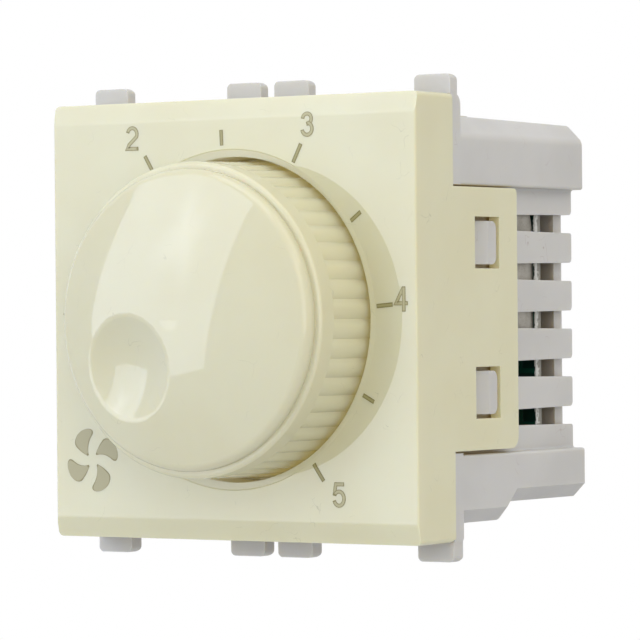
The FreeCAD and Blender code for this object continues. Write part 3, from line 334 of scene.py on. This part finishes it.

# %% [markdown]
# ## Plastic and metal finishes
#
# A plastic is the moulded group with dust over it. Three extras are for the parts that
# need them. The narrow gap round the knob gets a painted glow: where little sky reaches,
# a weak olive emission is painted in for the light that thin walls let through, so the
# gap isn't black. The same measure of how hidden a place is paints a brown shade into
# the inside of the housing. Last, the rim of the dial opening is rounded on the real
# plate, so its shading leans to the front.

# %% Finishes for plastic and metal
# Painted glow: hidden gaps on the cream parts give off a weak olive light, though no lamp is there.
PAINTED_GLOW_REACH = 3.5
PAINTED_GAP_GLOW = (0.11, 0.085, 0.024, 1.0)
# Painted shade: hidden places inside the housing are painted browner and darker.
PAINTED_SHADE_REACH = 9.0
HIDDEN_BELOW = 0.45
DARK = (0.0, 0.0, 0.0, 1.0)
FRONTWARDS = (0.0, -1.0, 0.0)
RIM_LEAN = 0.95


def hidden_places(tree, reach):
    """0 in the open to 1 where nothing of the sky is seen, counting walls within the
    reach in millimetres."""
    open_sky = add(tree, "ShaderNodeAmbientOcclusion", {"Distance": reach * MM}, samples=4)
    return ramp(tree, open_sky.outputs["AO"], HIDDEN_BELOW, 0.0)


def rounded_rim(tree, place, inner, outer):
    """The normal leant to the front by the share RIM_LEAN between two radii round the
    dial's axis. The radius is the length of the place with its depth left out."""
    radius = vector_maths(tree, "LENGTH", vector_maths(tree, "MULTIPLY", place, (1.0, 0.0, 1.0)))
    in_rim = maths(tree, "MULTIPLY", ramp(tree, radius, inner - 0.1, inner + 0.15),
                   ramp(tree, radius, outer + 0.05, outer - 0.05))
    true_normal = add(tree, "ShaderNodeNewGeometry").outputs["Normal"]
    leant = add(tree, "ShaderNodeMix",
                {0: maths(tree, "MULTIPLY", in_rim, RIM_LEAN), 4: true_normal, 5: FRONTWARDS},
                data_type="VECTOR")
    return vector_maths(tree, "NORMALIZE", leant.outputs[1])


def plastic(name, colour, cloud, roughness, spread=0.04, wave=0.0, grain=0.0, grain_scale=8.0,
            specks=0.0, fibres=0.0, speck_colour=(92, 84, 52), depth=0.0, soft_ring=None,
            painted_glow=None, painted_shade=None):
    """A moulded plastic with its share of dust and fibres. A soft ring is the two radii of
    a rim that is shaded round. The painted glow is an emission colour painted into hidden
    gaps in place of light through thin walls, and the painted shade is the screen colour
    painted into hidden places as shade."""
    material, tree, shader, place = start_material(name, depth=depth)
    skin = use(tree, moulded, Place=place, Colour=screen_colour(*colour),
               Cloud=screen_colour(*cloud), Roughness=roughness, Roughness_Spread=spread,
               Wave=wave, Grain=grain, Grain_Scale=grain_scale)
    dirt = use(tree, dust, Place=place, Specks=specks, Fibres=fibres)
    dusted_and_shaded = skin.outputs["Colour"]
    for kind, share in (("Specks", 0.6), ("Fibres", 0.4)):
        dusted_and_shaded = mix(tree, maths(tree, "MULTIPLY", dirt.outputs[kind], share), dusted_and_shaded,
                    screen_colour(*speck_colour))
    # Painted light: an olive emission in hidden places, in place of light through thin walls.
    if painted_glow:
        glow = mix(tree, hidden_places(tree, PAINTED_GLOW_REACH), DARK, painted_glow)
        tree.links.new(glow, shader.inputs["Emission Color"])
        shader.inputs["Emission Strength"].default_value = 1.0
    # Painted shade: hidden places are mixed towards a browner, darker colour.
    if painted_shade:
        dusted_and_shaded = mix(tree, hidden_places(tree, PAINTED_SHADE_REACH), dusted_and_shaded, screen_colour(*painted_shade))
    normal = rounded_rim(tree, place, *soft_ring) if soft_ring else None
    finish_with(tree, shader, dusted_and_shaded, skin.outputs["Roughness"], skin.outputs["Height"], normal)
    return material


def metal_finish(name, bright, dull, roughness, stretch=(1.0, 1.0, 1.0), grain=0.01):
    """A worked metal: bright and dull are its two screen colours."""
    material, tree, shader, place = start_material(name, metallic=1.0)
    skin = use(tree, metal, Place=place, Stretch=stretch, Bright=screen_colour(*bright),
               Dull=screen_colour(*dull), Roughness=roughness, Grain=grain)
    finish_with(tree, shader, skin.outputs["Colour"], skin.outputs["Roughness"],
                skin.outputs["Height"])
    return material


finishes = {}
print("material helpers ready")

# %% [markdown]
# ## Cream plate and polished knob
#
# Both are the same cream plastic from polished moulds. The knob is the glossier one: a
# lamp shows in its dome with a sharp edge that wanders slightly, so its roughness is
# low and its waves are long. The plate is handled more and is a touch less sharp. It
# could be one material for both, but then either the dome's mirror image or the plate's
# soft sheen would be wrong.

# %% Cream plastics
DIAL_RIM = (16.5, 17.3)
finishes["cream_plate"] = plastic(
    "cream plate plastic", (214, 210, 176), (212, 207, 171), 0.16, wave=0.004, grain=0.0004,
    specks=0.10, fibres=0.5, depth=1.2, painted_glow=PAINTED_GAP_GLOW, soft_ring=DIAL_RIM)
finishes["cream_knob"] = plastic(
    "cream knob plastic", (214, 210, 178), (212, 207, 173), 0.03, spread=0.02, wave=0.011,
    specks=0.14, fibres=0.4, depth=1.2, painted_glow=PAINTED_GAP_GLOW)
print("finishes:", list(finishes))

# %% [markdown]
# ## Grey housing
#
# The housing is a light grey engineering plastic from a sparked mould, which leaves a
# fine satin grain. It shows more specks and fibres than the front, because nobody
# polishes the part that goes into the wall. Its inside, seen through the louvres, is
# painted a browner shade where it is hidden.

# %% Grey housing plastic
# The grey housing's hidden inside gets painted brown shade.
finishes["grey_housing"] = plastic(
    "grey housing plastic", (198, 196, 190), (192, 190, 184), 0.42, spread=0.12, wave=0.006,
    grain=0.006, grain_scale=9.0, specks=0.22, fibres=0.9, speck_colour=(128, 84, 66),
    depth=1.5, painted_shade=(176, 160, 134))
print("finishes:", list(finishes))

# %% [markdown]
# ## Circuit board
#
# A circuit board is glass cloth and resin under a green lacquer, with copper tracks
# that show through as lighter lines. The tracks are made from a brick pattern, whose
# mortar lines turn at right angles as tracks do. The cut edge has no lacquer: it is a
# greyish white of torn glass cloth, brightest along the front, where it chipped.

# %% Circuit board
TRACK_HEIGHT = 0.03
TEAR_DEPTH = 0.5
CHIP_DEPTH = 2.2
material, tree, shader, place = start_material("green circuit board", coat=0.1)
axes = add(tree, "ShaderNodeSeparateXYZ", {0: place})
flat = add(tree, "ShaderNodeCombineXYZ", {0: axes.outputs[0], 1: axes.outputs[2]})
tracks = add(tree, "ShaderNodeTexBrick",
             {"Vector": flat.outputs[0], "Color1": (0, 0, 0, 1), "Color2": (0, 0, 0, 1),
              "Mortar": (1, 1, 1, 1), "Scale": 0.22, "Mortar Size": 0.07, "Mortar Smooth": 0.3,
              "Brick Width": 1.1, "Row Height": 0.62})
lacquer = mix(tree, tracks.outputs["Color"], screen_colour(6, 42, 34), screen_colour(12, 72, 54))
weave = noise(tree, place, 3.0, 3.0)
lacquer = mix(tree, maths(tree, "MULTIPLY", weave, 0.35), lacquer, screen_colour(4, 28, 25))
own_normal = add(tree, "ShaderNodeNewGeometry")
facing = add(tree, "ShaderNodeSeparateXYZ", {0: own_normal.outputs["Normal"]})
board_low, board_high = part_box("circuit_board")
torn = noise(tree, place, 2.6, 4.0)
from_edge = maths(tree, "SUBTRACT", board_high.x / MM,
                  maths(tree, "ABSOLUTE", axes.outputs[0]))
near_edge = ramp(tree, maths(tree, "MULTIPLY_ADD", torn, -TEAR_DEPTH, from_edge), -0.1, -0.17)
cut_side = ramp(tree, maths(tree, "ABSOLUTE", facing.outputs[1]), 0.5, 0.3)
pale = maths(tree, "MAXIMUM", near_edge, cut_side)
from_front = maths(tree, "SUBTRACT", axes.outputs[1], board_low.y / MM)
chipped = ramp(tree, maths(tree, "MULTIPLY_ADD", torn, CHIP_DEPTH, from_front), 1.75, 1.35)
fibre_ends = mix(tree, noise(tree, place, 7.0, 4.0), screen_colour(136, 134, 122),
                 screen_colour(172, 170, 160))
glass_cloth = mix(tree, chipped, fibre_ends, screen_colour(228, 228, 222))
finish_with(tree, shader, mix(tree, pale, lacquer, glass_cloth),
            ramp(tree, pale, 0.0, 1.0, 0.28, 0.7),
            maths(tree, "MULTIPLY", tracks.outputs["Fac"], TRACK_HEIGHT))
finishes["green_board"] = material
print("board edge at x in mm:", round(board_high.x / MM, 2))

# %% [markdown]
# ## Metals inside
#
# The inner metal parts show through the louvres and the wells, so each gets the grain
# of the way it was made: rolled aluminium, drawn screws, stamped brass, plated steel.
# A row gives the bright and the dull colour, the roughness, how the grain is stretched
# along x, y and z, and the grain's height in millimetres.

# %% Metals
METALS = {
    "sheet_aluminium": ((168, 164, 156), (136, 132, 122), 0.45, (0.15, 1.0, 2.5), 0.01),
    "zinc_screws": ((206, 206, 200), (164, 164, 160), 0.3, (1.0, 3.0, 1.0), 0.004),
    "pot_can": ((196, 194, 188), (160, 158, 150), 0.28, (1.0, 0.2, 1.0), 0.004),
    "nickel_nut": ((212, 206, 194), (176, 168, 152), 0.22, (1.0, 1.0, 1.0), 0.004),
    "tinned_metal": ((206, 208, 212), (158, 160, 166), 0.3, (1.0, 1.0, 0.3), 0.006),
    "contact_bronze": ((206, 150, 96), (158, 104, 62), 0.26, (0.3, 1.0, 1.0), 0.004),
    "terminal_brass": ((214, 184, 112), (172, 138, 74), 0.3, (1.0, 1.0, 0.25), 0.006),
    "cage_steel": ((200, 200, 196), (152, 152, 148), 0.34, (1.0, 1.0, 0.3), 0.008),
}
for slot, (bright, dull, roughness, stretch, hair) in METALS.items():
    finishes[slot] = metal_finish(slot.replace("_", " "), bright, dull, roughness, stretch, hair)
print("metals:", len(METALS))

# %% [markdown]
# ## Plastics, ferrite and cases inside
#
# Brown phenolic paper board, white nylon, black epoxy and grey ferrite differ mostly
# in colour and grain, so one function makes them all from a row of values: colour,
# cloud colour, roughness, grain height and grain scale.

# %% Other inner finishes
INNER_PLASTICS = {
    "brown_phenolic": ((112, 72, 42), (84, 52, 30), 0.45, 0.02, 3.0),
    "white_nylon": ((226, 224, 214), (214, 211, 198), 0.38, 0.006, 5.0),
    "black_moulding": ((30, 30, 32), (22, 22, 24), 0.5, 0.012, 9.0),
    "ferrite": ((58, 56, 55), (42, 40, 40), 0.62, 0.03, 6.0),
    "capacitor_case": ((196, 160, 62), (184, 146, 52), 0.3, 0.004, 6.0),
}
for slot, (colour, cloud, roughness, hair, scale) in INNER_PLASTICS.items():
    finishes[slot] = plastic(slot.replace("_", " "), colour, cloud, roughness, spread=0.1,
                             grain=hair, grain_scale=scale, specks=0.1, fibres=0.2)
print("inner plastics:", len(INNER_PLASTICS))

# %% [markdown]
# ## Wire, resistors and diac
#
# Enamelled wire is copper under clear lacquer, so it is a metal with a coat. A resistor
# carries painted rings: each ring is a band of heights along the body, measured from
# its middle, and the tinned leads begin where the body ends.

# %% Enamelled wire
TINNED = screen_colour(196, 197, 200)
material, tree, shader, place = start_material("enamelled copper wire", metallic=0.8, coat=0.8)
skin = use(tree, metal, Place=place, Bright=screen_colour(196, 104, 52),
           Dull=screen_colour(142, 62, 28), Roughness=0.3, Grain=0.004)
finish_with(tree, shader, skin.outputs["Colour"], skin.outputs["Roughness"],
            skin.outputs["Height"])
finishes["enamelled_wire"] = material


def ringed_body(name, node, body_colour, rings, body_half_length):
    """A small part on wire leads. A ring is its middle height, half its width and its
    screen colour, and the leads begin at body_half_length from the middle."""
    material, tree, shader, place = start_material(name, coat=0.3)
    low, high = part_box(node)
    middle = (low + high) / 2 / MM
    axes = add(tree, "ShaderNodeSeparateXYZ", {0: vector_maths(tree, "SUBTRACT", place, middle)})
    along = axes.outputs[2]
    colour = screen_colour(*body_colour)
    for ring_middle, half_width, ring_colour in rings:
        away = maths(tree, "ABSOLUTE", maths(tree, "SUBTRACT", along, ring_middle))
        colour = mix(tree, maths(tree, "LESS_THAN", away, half_width), colour,
                     screen_colour(*ring_colour))
    on_lead = maths(tree, "GREATER_THAN", maths(tree, "ABSOLUTE", along), body_half_length)
    colour = mix(tree, on_lead, colour, TINNED)
    tree.links.new(on_lead, shader.inputs["Metallic"])
    smudged = ramp(tree, noise(tree, place, 4.0, 3.0), 0.3, 0.7, 0.26, 0.42)
    finish_with(tree, shader, colour, smudged,
                maths(tree, "MULTIPLY", noise(tree, place, 6.0), 0.01))
    return material


RINGS = ((-2.2, 0.3, (150, 60, 40)), (-1.1, 0.25, (40, 40, 42)), (-0.2, 0.25, (206, 120, 40)),
         (1.9, 0.3, (196, 160, 70)))
DIAC_RING = ((1.1, 0.25, (20, 20, 24)),)
finishes["resistor_body"] = ringed_body("blue resistor", "resistor_outer", (120, 166, 186),
                                        RINGS, body_half_length=3.15)
finishes["diac_glass"] = ringed_body("blue diac", "diac", (46, 84, 150),
                                     DIAC_RING, body_half_length=1.8)
print("finishes in all:", len(finishes))

# %% [markdown]
# ## Dress the solids
#
# The record names the slot that each solid takes its finish from, so a loop over it
# hands every solid its material and nothing can be forgotten.

# %% Hand out the finishes
dressed = 0
for entry in frame["record"]["subparts"]:
    for slot in frame["nodes"][entry["node"]].material_slots:
        slot.material = finishes[entry["material_slot"]]
        dressed += 1
print("dressed:", dressed, "of", len(frame["nodes"]))

# %% [markdown]
# ## Printing on the plate
#
# The scale is pad printed: a thin film of olive brown ink pressed on after moulding,
# over the flat plate and down into the two finger scoops. It could be painted in the
# plate's shader, but then no edge of it would be crisp, and the print would be lost
# with the material. Here each mark is a film of its own, laid on the plate by formula.
# A film is a grid of points in the plane of the plate. Its front copy stands a hair
# proud, its back copy sinks a hair in, and walls close the rim.

# %% Shape of the plate's face
SCOOP_SPHERE = 96.0
SCOOP_SHIFT = 4.95
SCOOP_FACE_RADIUS = 15.8
SCOOP_RISE = math.sqrt(SCOOP_SPHERE ** 2 - SCOOP_FACE_RADIUS ** 2)
BEVEL_HEIGHT = 2.0
BEVEL_SLOPE = 0.21
BEVEL_BLEND = 2.0
face_depth = face_y / MM
bevel_start = plate_high.z / MM - BEVEL_HEIGHT


def plate_surface(x, z):
    """Depth of the plate's front at x, z in millimetres. The bevel falls back by its slope
    times the height past its start, and an arc of the blend radius leads into it. Where
    one of the two scoop spheres cuts deeper, the sphere counts: centre y plus the square
    root of radius squared minus the squared distances in x and z."""
    past = np.abs(z) - bevel_start
    reach = BEVEL_BLEND * BEVEL_SLOPE / 2
    blend = np.clip(past + reach, 0, 2 * reach) ** 2 / (2 * BEVEL_BLEND)
    depth = face_depth + np.where(past > reach, BEVEL_SLOPE * past, blend) + 0.0 * x
    for side in (-1, 1):
        inside = SCOOP_SPHERE ** 2 - (x - side * SCOOP_SHIFT) ** 2 - z ** 2
        depth = np.maximum(depth, face_depth - SCOOP_RISE + np.sqrt(inside))
    return depth


INK_HEIGHT = 0.018
INK_SINK = 0.03


def ink_film(name, grid, lift=0.0):
    """A closed film over a grid of plane points, shape (rows, columns, 2). The front is
    the plate's surface less the ink's height, and the rim walls join it to the back."""
    rows, columns = grid.shape[:2]
    x, z = grid[..., 0].ravel(), grid[..., 1].ravel()
    surface = plate_surface(x, z)
    front = np.column_stack([x, surface - INK_HEIGHT - lift, z])
    back = np.column_stack([x, surface + INK_SINK, z])
    count = rows * columns
    index = np.arange(count).reshape(rows, columns)
    quads = np.stack([index[:-1, :-1], index[1:, :-1], index[1:, 1:], index[:-1, 1:]], axis=-1)
    quads = quads.reshape(-1, 4)
    rim = np.concatenate([index[0, :-1], index[:-1, -1], index[-1, :0:-1], index[:0:-1, 0]])
    after = np.roll(rim, -1)
    walls = np.column_stack([rim, after, after + count, rim + count])
    faces = np.concatenate([quads, quads[:, ::-1] + count, walls])
    mesh = bpy.data.meshes.new(name)
    mesh.from_pydata((np.concatenate([front, back]) * MM).tolist(), [], faces.tolist())
    u, v = np.meshgrid(np.linspace(0, 1, columns), np.linspace(0, 1, rows))
    per_point = np.column_stack([u.ravel(), v.ravel()])
    per_point = np.concatenate([per_point, per_point])
    corner_point = np.zeros(len(mesh.loops), dtype=np.int32)
    mesh.loops.foreach_get("vertex_index", corner_point)
    across = mesh.uv_layers.new(name="film")
    across.data.foreach_set("uv", per_point[corner_point].astype(np.float32).ravel())
    outward = bmesh.new()
    outward.from_mesh(mesh)
    bmesh.ops.recalc_face_normals(outward, faces=outward.faces)
    outward.to_mesh(mesh)
    outward.free()
    film = bpy.data.objects.new(name, mesh)
    bpy.context.scene.collection.objects.link(film)
    return film


in_scoop = float(plate_surface(np.array(18.0), np.array(0.0)))
print("scoop 18 mm from the axis, in mm behind the face:", round(in_scoop - face_depth, 3))

# %% [markdown]
# ## Ink
#
# Pad printed ink is squeezed outward as the pad lands, so each line has a darker rim
# and a thin, paler core. The film's own UV runs across each stroke, and distance from
# its middle sets the shade. The lines of the scale are darkest, and the numerals are
# paler, with a wider core.

# %% Ink materials
RIM_INK = screen_colour(120, 111, 54)


def ink_material(name, rim_start, rim_end, core):
    """Ink whose rim darkens from rim_start to rim_end, counted from a film's middle line
    at 0 to its side at 1. Core is the screen colour of its thin middle."""
    material, tree, shader, place = start_material(name)
    film_uv = add(tree, "ShaderNodeUVMap", uv_map="film")
    from_middle = vector_maths(tree, "ABSOLUTE", vector_maths(
        tree, "SUBTRACT", film_uv.outputs[0], (0.5, 0.5, 0.0)))
    film_axes = add(tree, "ShaderNodeSeparateXYZ", {0: from_middle})
    sideways, lengthways = (maths(tree, "MULTIPLY", film_axes.outputs[i], 2.0) for i in (0, 1))
    rim = maths(tree, "MAXIMUM", ramp(tree, sideways, rim_start, rim_end),
                ramp(tree, lengthways, 0.88, 0.97))
    uneven = ramp(tree, noise(tree, place, 5.0, 3.0), 0.3, 0.7)
    rim = maths(tree, "MULTIPLY", rim, maths(tree, "MULTIPLY_ADD", uneven, 0.4, 0.6))
    finish_with(tree, shader, mix(tree, rim, screen_colour(*core), RIM_INK),
                0.4, maths(tree, "MULTIPLY", uneven, 0.004))
    return material


INKS = {
    "scale": ink_material("olive brown ink, lines", 0.15, 0.7, (156, 149, 100)),
    "number": ink_material("olive brown ink, numerals", 0.3, 0.8, (176, 169, 128)),
    "fan": ink_material("olive brown ink, areas", 0.84, 0.97, (170, 163, 126)),
}
print("inks:", list(INKS))

# %% [markdown]
# ## Strokes
#
# A printed line is a path with a width. The band function walks along a path of points,
# finds the direction across it at every point, and sets off to both sides. At a corner
# the two directions are averaged and lengthened, which gives a sharp mitre.

# %% Bands and arcs
STROKE = 0.4
ACROSS = np.array([-0.5, -0.38, -0.2, 0.0, 0.2, 0.38, 0.5])
STEP = 0.12


def arc(centre_x, centre_z, radius_x, radius_z, start, end, steps=18):
    """Points of an ellipse arc: centre plus radii times cosine and sine, from the start
    angle to the end angle in degrees."""
    t = np.radians(np.linspace(start, end, steps))
    return np.column_stack([centre_x + radius_x * np.cos(t), centre_z + radius_z * np.sin(t)])


def closer(path):
    """The same path with a point at least every STEP, so the film can follow the crease
    where a scoop begins: corners are kept, and points are put in between by share."""
    parts = [path[:1]]
    for start, end in zip(path[:-1], path[1:]):
        count = max(1, int(np.ceil(np.linalg.norm(end - start) / STEP)))
        share = np.linspace(0, 1, count + 1)[1:, None]
        parts.append(start + share * (end - start))
    return np.concatenate(parts)


def band(path, width=STROKE):
    """Grid of a stroke: each path point plus across offsets along the mitred normal. The
    mitre is the sum of the two side normals divided by one plus their dot product."""
    path = closer(np.asarray(path, dtype=float))
    step = np.diff(path, axis=0)
    step /= np.linalg.norm(step, axis=1)[:, None]
    normal = np.column_stack([-step[:, 1], step[:, 0]])
    before = np.concatenate([normal[:1], normal])
    after = np.concatenate([normal, normal[-1:]])
    mitre = (before + after) / (1.0 + np.sum(before * after, axis=1))[:, None]
    return path[:, None, :] + mitre[:, None, :] * (ACROSS * width)[None, :, None]


HALF_WIDTH, HALF_HEIGHT = 0.60, 1.07
STEM_END = HALF_HEIGHT + 0.18
NUMERALS = {
    1: [[(-0.38, 0.60), (0.18, HALF_HEIGHT - 0.05)], [(0.18, STEM_END), (0.18, -STEM_END)]],
    2: [np.concatenate([arc(0.0, 0.44, HALF_WIDTH, 0.63, 168, -28),
                        [(-0.42, -0.66), (-0.62, -HALF_HEIGHT), (0.78, -HALF_HEIGHT)]])],
    3: [np.concatenate([arc(0.0, 0.55, 0.52, 0.52, 178, -70), [(-0.06, 0.03)]]),
        np.concatenate([[(-0.06, 0.03)], arc(0.0, -0.46, HALF_WIDTH, 0.61, 72, -172, 22)])],
    4: [[(0.32, 1.16), (-0.66, -0.42), (0.80, -0.42)], [(0.32, STEM_END), (0.32, -STEM_END)]],
    5: [[(0.62, HALF_HEIGHT), (-0.38, HALF_HEIGHT), (-0.56, -0.08)],
        arc(0.0, -0.36, HALF_WIDTH, 0.71, 152, -164, 24)],
}
print("numerals:", sorted(NUMERALS))

# %% [markdown]
# ## Lay out the scale
#
# Numbers stand every 58.6 degrees, turned so that 2 is 31.3 degrees left of the top,
# with a long line at each number and a short one half way between. The print sits
# 0.3 mm left of the dial's axis, as pad printing seldom lands dead centre. Where two
# strokes of a numeral cross, the second lies a hair higher, so they don't flicker.

# %% Print the scale
PRINT_CENTRE = np.array([-0.3, -0.04])
SECOND_ANGLE = -31.3
NUMBER_STEP = 58.6
LINE_START, LONG_END, SHORT_END, LINE_WIDTH = 17.8, 19.9, 19.4, 0.43
NUMBER_PLACES = {1: (-20.92, -0.02), 2: (-12.24, 18.83), 3: (9.6, 19.58), 4: (20.65, 1.91),
                 5: (13.07, -17.61)}
OVERLAP_LIFT = 0.004

films = []
for half in range(2, 11):
    angle = math.radians(SECOND_ANGLE + NUMBER_STEP * (half / 2 - 2))
    outward_dir = np.array([math.sin(angle), math.cos(angle)])
    end = LONG_END if half % 2 == 0 else SHORT_END
    ends = PRINT_CENTRE + np.array([[LINE_START], [end]]) * outward_dir
    films.append(ink_film(f"scale_line_{half - 1}", band(ends, LINE_WIDTH)))
for number, place_xz in NUMBER_PLACES.items():
    for i, stroke in enumerate(NUMERALS[number]):
        path = np.asarray(stroke, dtype=float) + np.array(place_xz)
        films.append(ink_film(f"number_{number}_stroke_{i + 1}", band(path), lift=OVERLAP_LIFT * i))
print("films:", len(films))

# %% [markdown]
# ## Fan mark
#
# At the lower left the plate has a small fan sign. This one is a plain four-blade
# propeller of the maker's own: each blade is a grid of distance from the middle and
# angle across the blade. It opens like a fin, sweeps round and closes in a soft curve.

# %% Print the fan mark
FAN_CENTRE = np.array([-17.75, -14.5])
BLADE_START, BLADE_END = 0.75, 3.35
BLADE_SWEEP = 30.0
BLADE_WIDE = 66.0
BLADES = 4
FIRST_BLADE = -50.0


def fan_blade(turned):
    """Grid of one blade: radius from the middle outward, and angle = turned + sweep times
    the share of the radius + width times the side. The width rises with the root of the
    share, and from two thirds on it closes like a circle."""
    share, side = np.meshgrid(1 - np.linspace(1, 0, 26) ** 2, np.linspace(-0.5, 0.5, 15),
                              indexing="ij")
    opening = np.sqrt(0.03 + 0.97 * share)
    closing = np.sqrt(np.clip(1 - (np.clip(share - 0.66, 0, 1) / 0.345) ** 2, 0, 1))
    radius = BLADE_START + (BLADE_END - BLADE_START) * share
    angle = np.radians(turned + BLADE_SWEEP * share + BLADE_WIDE * side * opening * closing)
    return FAN_CENTRE + np.stack([radius * np.sin(angle), radius * np.cos(angle)], axis=-1)


for blade in range(BLADES):
    grid = fan_blade(blade * 360.0 / BLADES + FIRST_BLADE)
    films.append(ink_film(f"fan_blade_{blade + 1}", grid))
for film in films:
    film.data.materials.append(INKS[film.name.split("_")[0]])
    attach(film, "root")
print("films with the fan:", len(films))

# %% [markdown]
# ## Floor and background
#
# A product picture floats on white. The floor is a wide pale sheet some way under the
# switch. To the camera and to mirrors it glows white, fully so far out and a little less
# near the switch, where its own shading still shows the shadow.

# %% Floor
FLOOR_DROP = 0.12
FLOOR_HALF = 4.0
PAPER_DARK, PAPER_LIGHT = (0.57, 0.57, 0.56, 1.0), (0.61, 0.61, 0.60, 1.0)
WHITE_NEAR, WHITE_FAR = 0.15, 0.8
floor_mesh = bpy.data.meshes.new("studio_floor")
floor_corners = [(-FLOOR_HALF, -FLOOR_HALF), (FLOOR_HALF, -FLOOR_HALF),
                 (FLOOR_HALF, FLOOR_HALF), (-FLOOR_HALF, FLOOR_HALF)]
floor_mesh.from_pydata([(x, y, -FLOOR_DROP) for x, y in floor_corners], [], [(0, 1, 2, 3)])
floor = bpy.data.objects.new("studio_floor", floor_mesh)
bpy.context.scene.collection.objects.link(floor)
material = bpy.data.materials.new("pale floor")
material.use_nodes = True
tree = material.node_tree
shader = tree.nodes["Principled BSDF"]
on_floor = add(tree, "ShaderNodeTexCoord").outputs["Object"]
paper = noise(tree, on_floor, 30.0, 3.0)
tree.links.new(mix(tree, paper, PAPER_DARK, PAPER_LIGHT), shader.inputs["Base Color"])
shader.inputs["Roughness"].default_value = 0.9
glow = add(tree, "ShaderNodeEmission", {"Color": WHITE, "Strength": 1.0})
whiteness = ramp(tree, vector_maths(tree, "LENGTH", on_floor), WHITE_NEAR, WHITE_FAR, 0.8, 1.0)
blend = add(tree, "ShaderNodeMixShader", {0: maths(tree, "MULTIPLY", looked_at(tree), whiteness),
                                          1: shader.outputs[0], 2: glow.outputs[0]})
tree.links.new(blend.outputs[0], tree.nodes["Material Output"].inputs["Surface"])
floor_mesh.materials.append(material)
print("floor drop in mm:", FLOOR_DROP / MM)

# %% [markdown]
# ## Sky
#
# The sky lights gently from all round, as the walls of a pale studio do, and is white
# only where it is looked at. A brighter sky would give a white picture too, but it would
# wash the cream out.

# %% Sky
SKY_LIGHT = 0.56
SKY_TINT = (0.84, 0.86, 0.98, 1.0)
world = bpy.data.worlds.new("studio_sky")
world.use_nodes = True
bpy.context.scene.world = world
tree = world.node_tree
seen = looked_at(tree)
sky = tree.nodes["Background"]
tree.links.new(mix(tree, seen, SKY_TINT, WHITE), sky.inputs["Color"])
tree.links.new(maths(tree, "MULTIPLY_ADD", seen, 1.0 - SKY_LIGHT, SKY_LIGHT),
               sky.inputs["Strength"])
print("sky light:", SKY_LIGHT)

# %% [markdown]
# ## Softbox and fills
#
# One large softbox stands at the front left and leans a little. It doesn't face the
# switch squarely: its far side runs away to the left, which is why its picture in the
# knob's dome has a slanting lower edge. Its middle is brighter, where the bulb is, and
# the four rods that stretch the cloth draw four faint rays from there. The light it
# sends is cool, and the right front and the upper right get softer, plainer fills. A
# lamp's brightness is set as radiance, so its size can change by itself.

# %% Lamps
CORE_SIZE, RAY_SIZE = 0.115, 0.035
CLOTH_MIDDLE = (0.5, 0.5, 0.0)


def direction(azimuth, elevation):
    """Unit vector: sine and minus cosine of the azimuth times the cosine of the elevation,
    and the elevation's sine upward."""
    a, e = math.radians(azimuth), math.radians(elevation)
    return Vector((math.sin(a) * math.cos(e), -math.cos(a) * math.cos(e), math.sin(e)))


def bulb_behind_cloth(lamp, core):
    """A hot middle on a lamp: brightness is 1 + core times two to the power of minus
    (distance from the middle / reach) squared. The reach is CORE_SIZE less RAY_SIZE times
    the cosine of four times the angle, which makes the four rays."""
    lamp.use_nodes = True
    tree = lamp.node_tree
    on_cloth = add(tree, "ShaderNodeNewGeometry").outputs["Parametric"]
    away = vector_maths(tree, "DISTANCE", on_cloth, CLOTH_MIDDLE)
    off = add(tree, "ShaderNodeSeparateXYZ",
              {0: vector_maths(tree, "SUBTRACT", on_cloth, CLOTH_MIDDLE)})
    angle = maths(tree, "ARCTAN2", off.outputs[1], off.outputs[0])
    wave = maths(tree, "COSINE", maths(tree, "MULTIPLY", angle, 4.0))
    reach = maths(tree, "MULTIPLY_ADD", wave, -RAY_SIZE, CORE_SIZE)
    squared = maths(tree, "POWER", maths(tree, "DIVIDE", away, reach), 2.0)
    fall = maths(tree, "POWER", 2.0, maths(tree, "MULTIPLY", squared, -1.0))
    tree.links.new(maths(tree, "MULTIPLY_ADD", fall, core, 1.0),
                   tree.nodes["Emission"].inputs["Strength"])


def panel_lamp(name, azimuth, elevation, distance, width, height, radiance, lean=0.0,
               colour=(1.0, 1.0, 1.0), core=0.0, facing=None):
    """A flat lamp. Azimuth counts from the front towards +X. Facing is the azimuth and
    elevation of its back, and without it the lamp faces the dial. Power is radiance times
    4 times the area."""
    lamp = bpy.data.lights.new(name, "AREA")
    lamp.shape = "RECTANGLE"
    lamp.size = width
    lamp.size_y = height
    lamp.energy = radiance * 4.0 * width * height
    lamp.color = colour
    if core > 0:
        bulb_behind_cloth(lamp, core)
    place = direction(azimuth, elevation) * distance
    back = direction(*facing) if facing else place.normalized()
    lean_turn = Matrix.Rotation(math.radians(lean), 3, "Z")
    turned = back.to_track_quat("Z", "Y").to_matrix() @ lean_turn
    holder = bpy.data.objects.new(name, lamp)
    holder.matrix_world = Matrix.Translation(place) @ turned.to_4x4()
    holder.visible_camera = False
    bpy.context.scene.collection.objects.link(holder)


panel_lamp("key_softbox", -33.0, 18.1, 0.6, 0.397, 0.61, 1.8, lean=-16.3,
           colour=(0.80, 0.87, 1.05), core=0.95, facing=(-67.6, 4.9))
panel_lamp("front_fill", 45.0, 10.0, 0.9, 0.5, 0.8, 1.7, colour=(1.0, 0.985, 0.97))
panel_lamp("side_fill", 95.0, 15.0, 0.9, 0.8, 0.8, 0.26, colour=(1.0, 0.9, 0.68))
panel_lamp("upper_right_fill", 85.0, 48.0, 0.9, 0.6, 0.5, 1.25, colour=(1.0, 0.968, 0.86))
panel_lamp("top_fill", 0.0, 72.0, 0.9, 0.7, 0.7, 1.25, colour=(0.89, 0.935, 1.0))

# %% Update the scene
bpy.context.view_layer.update()
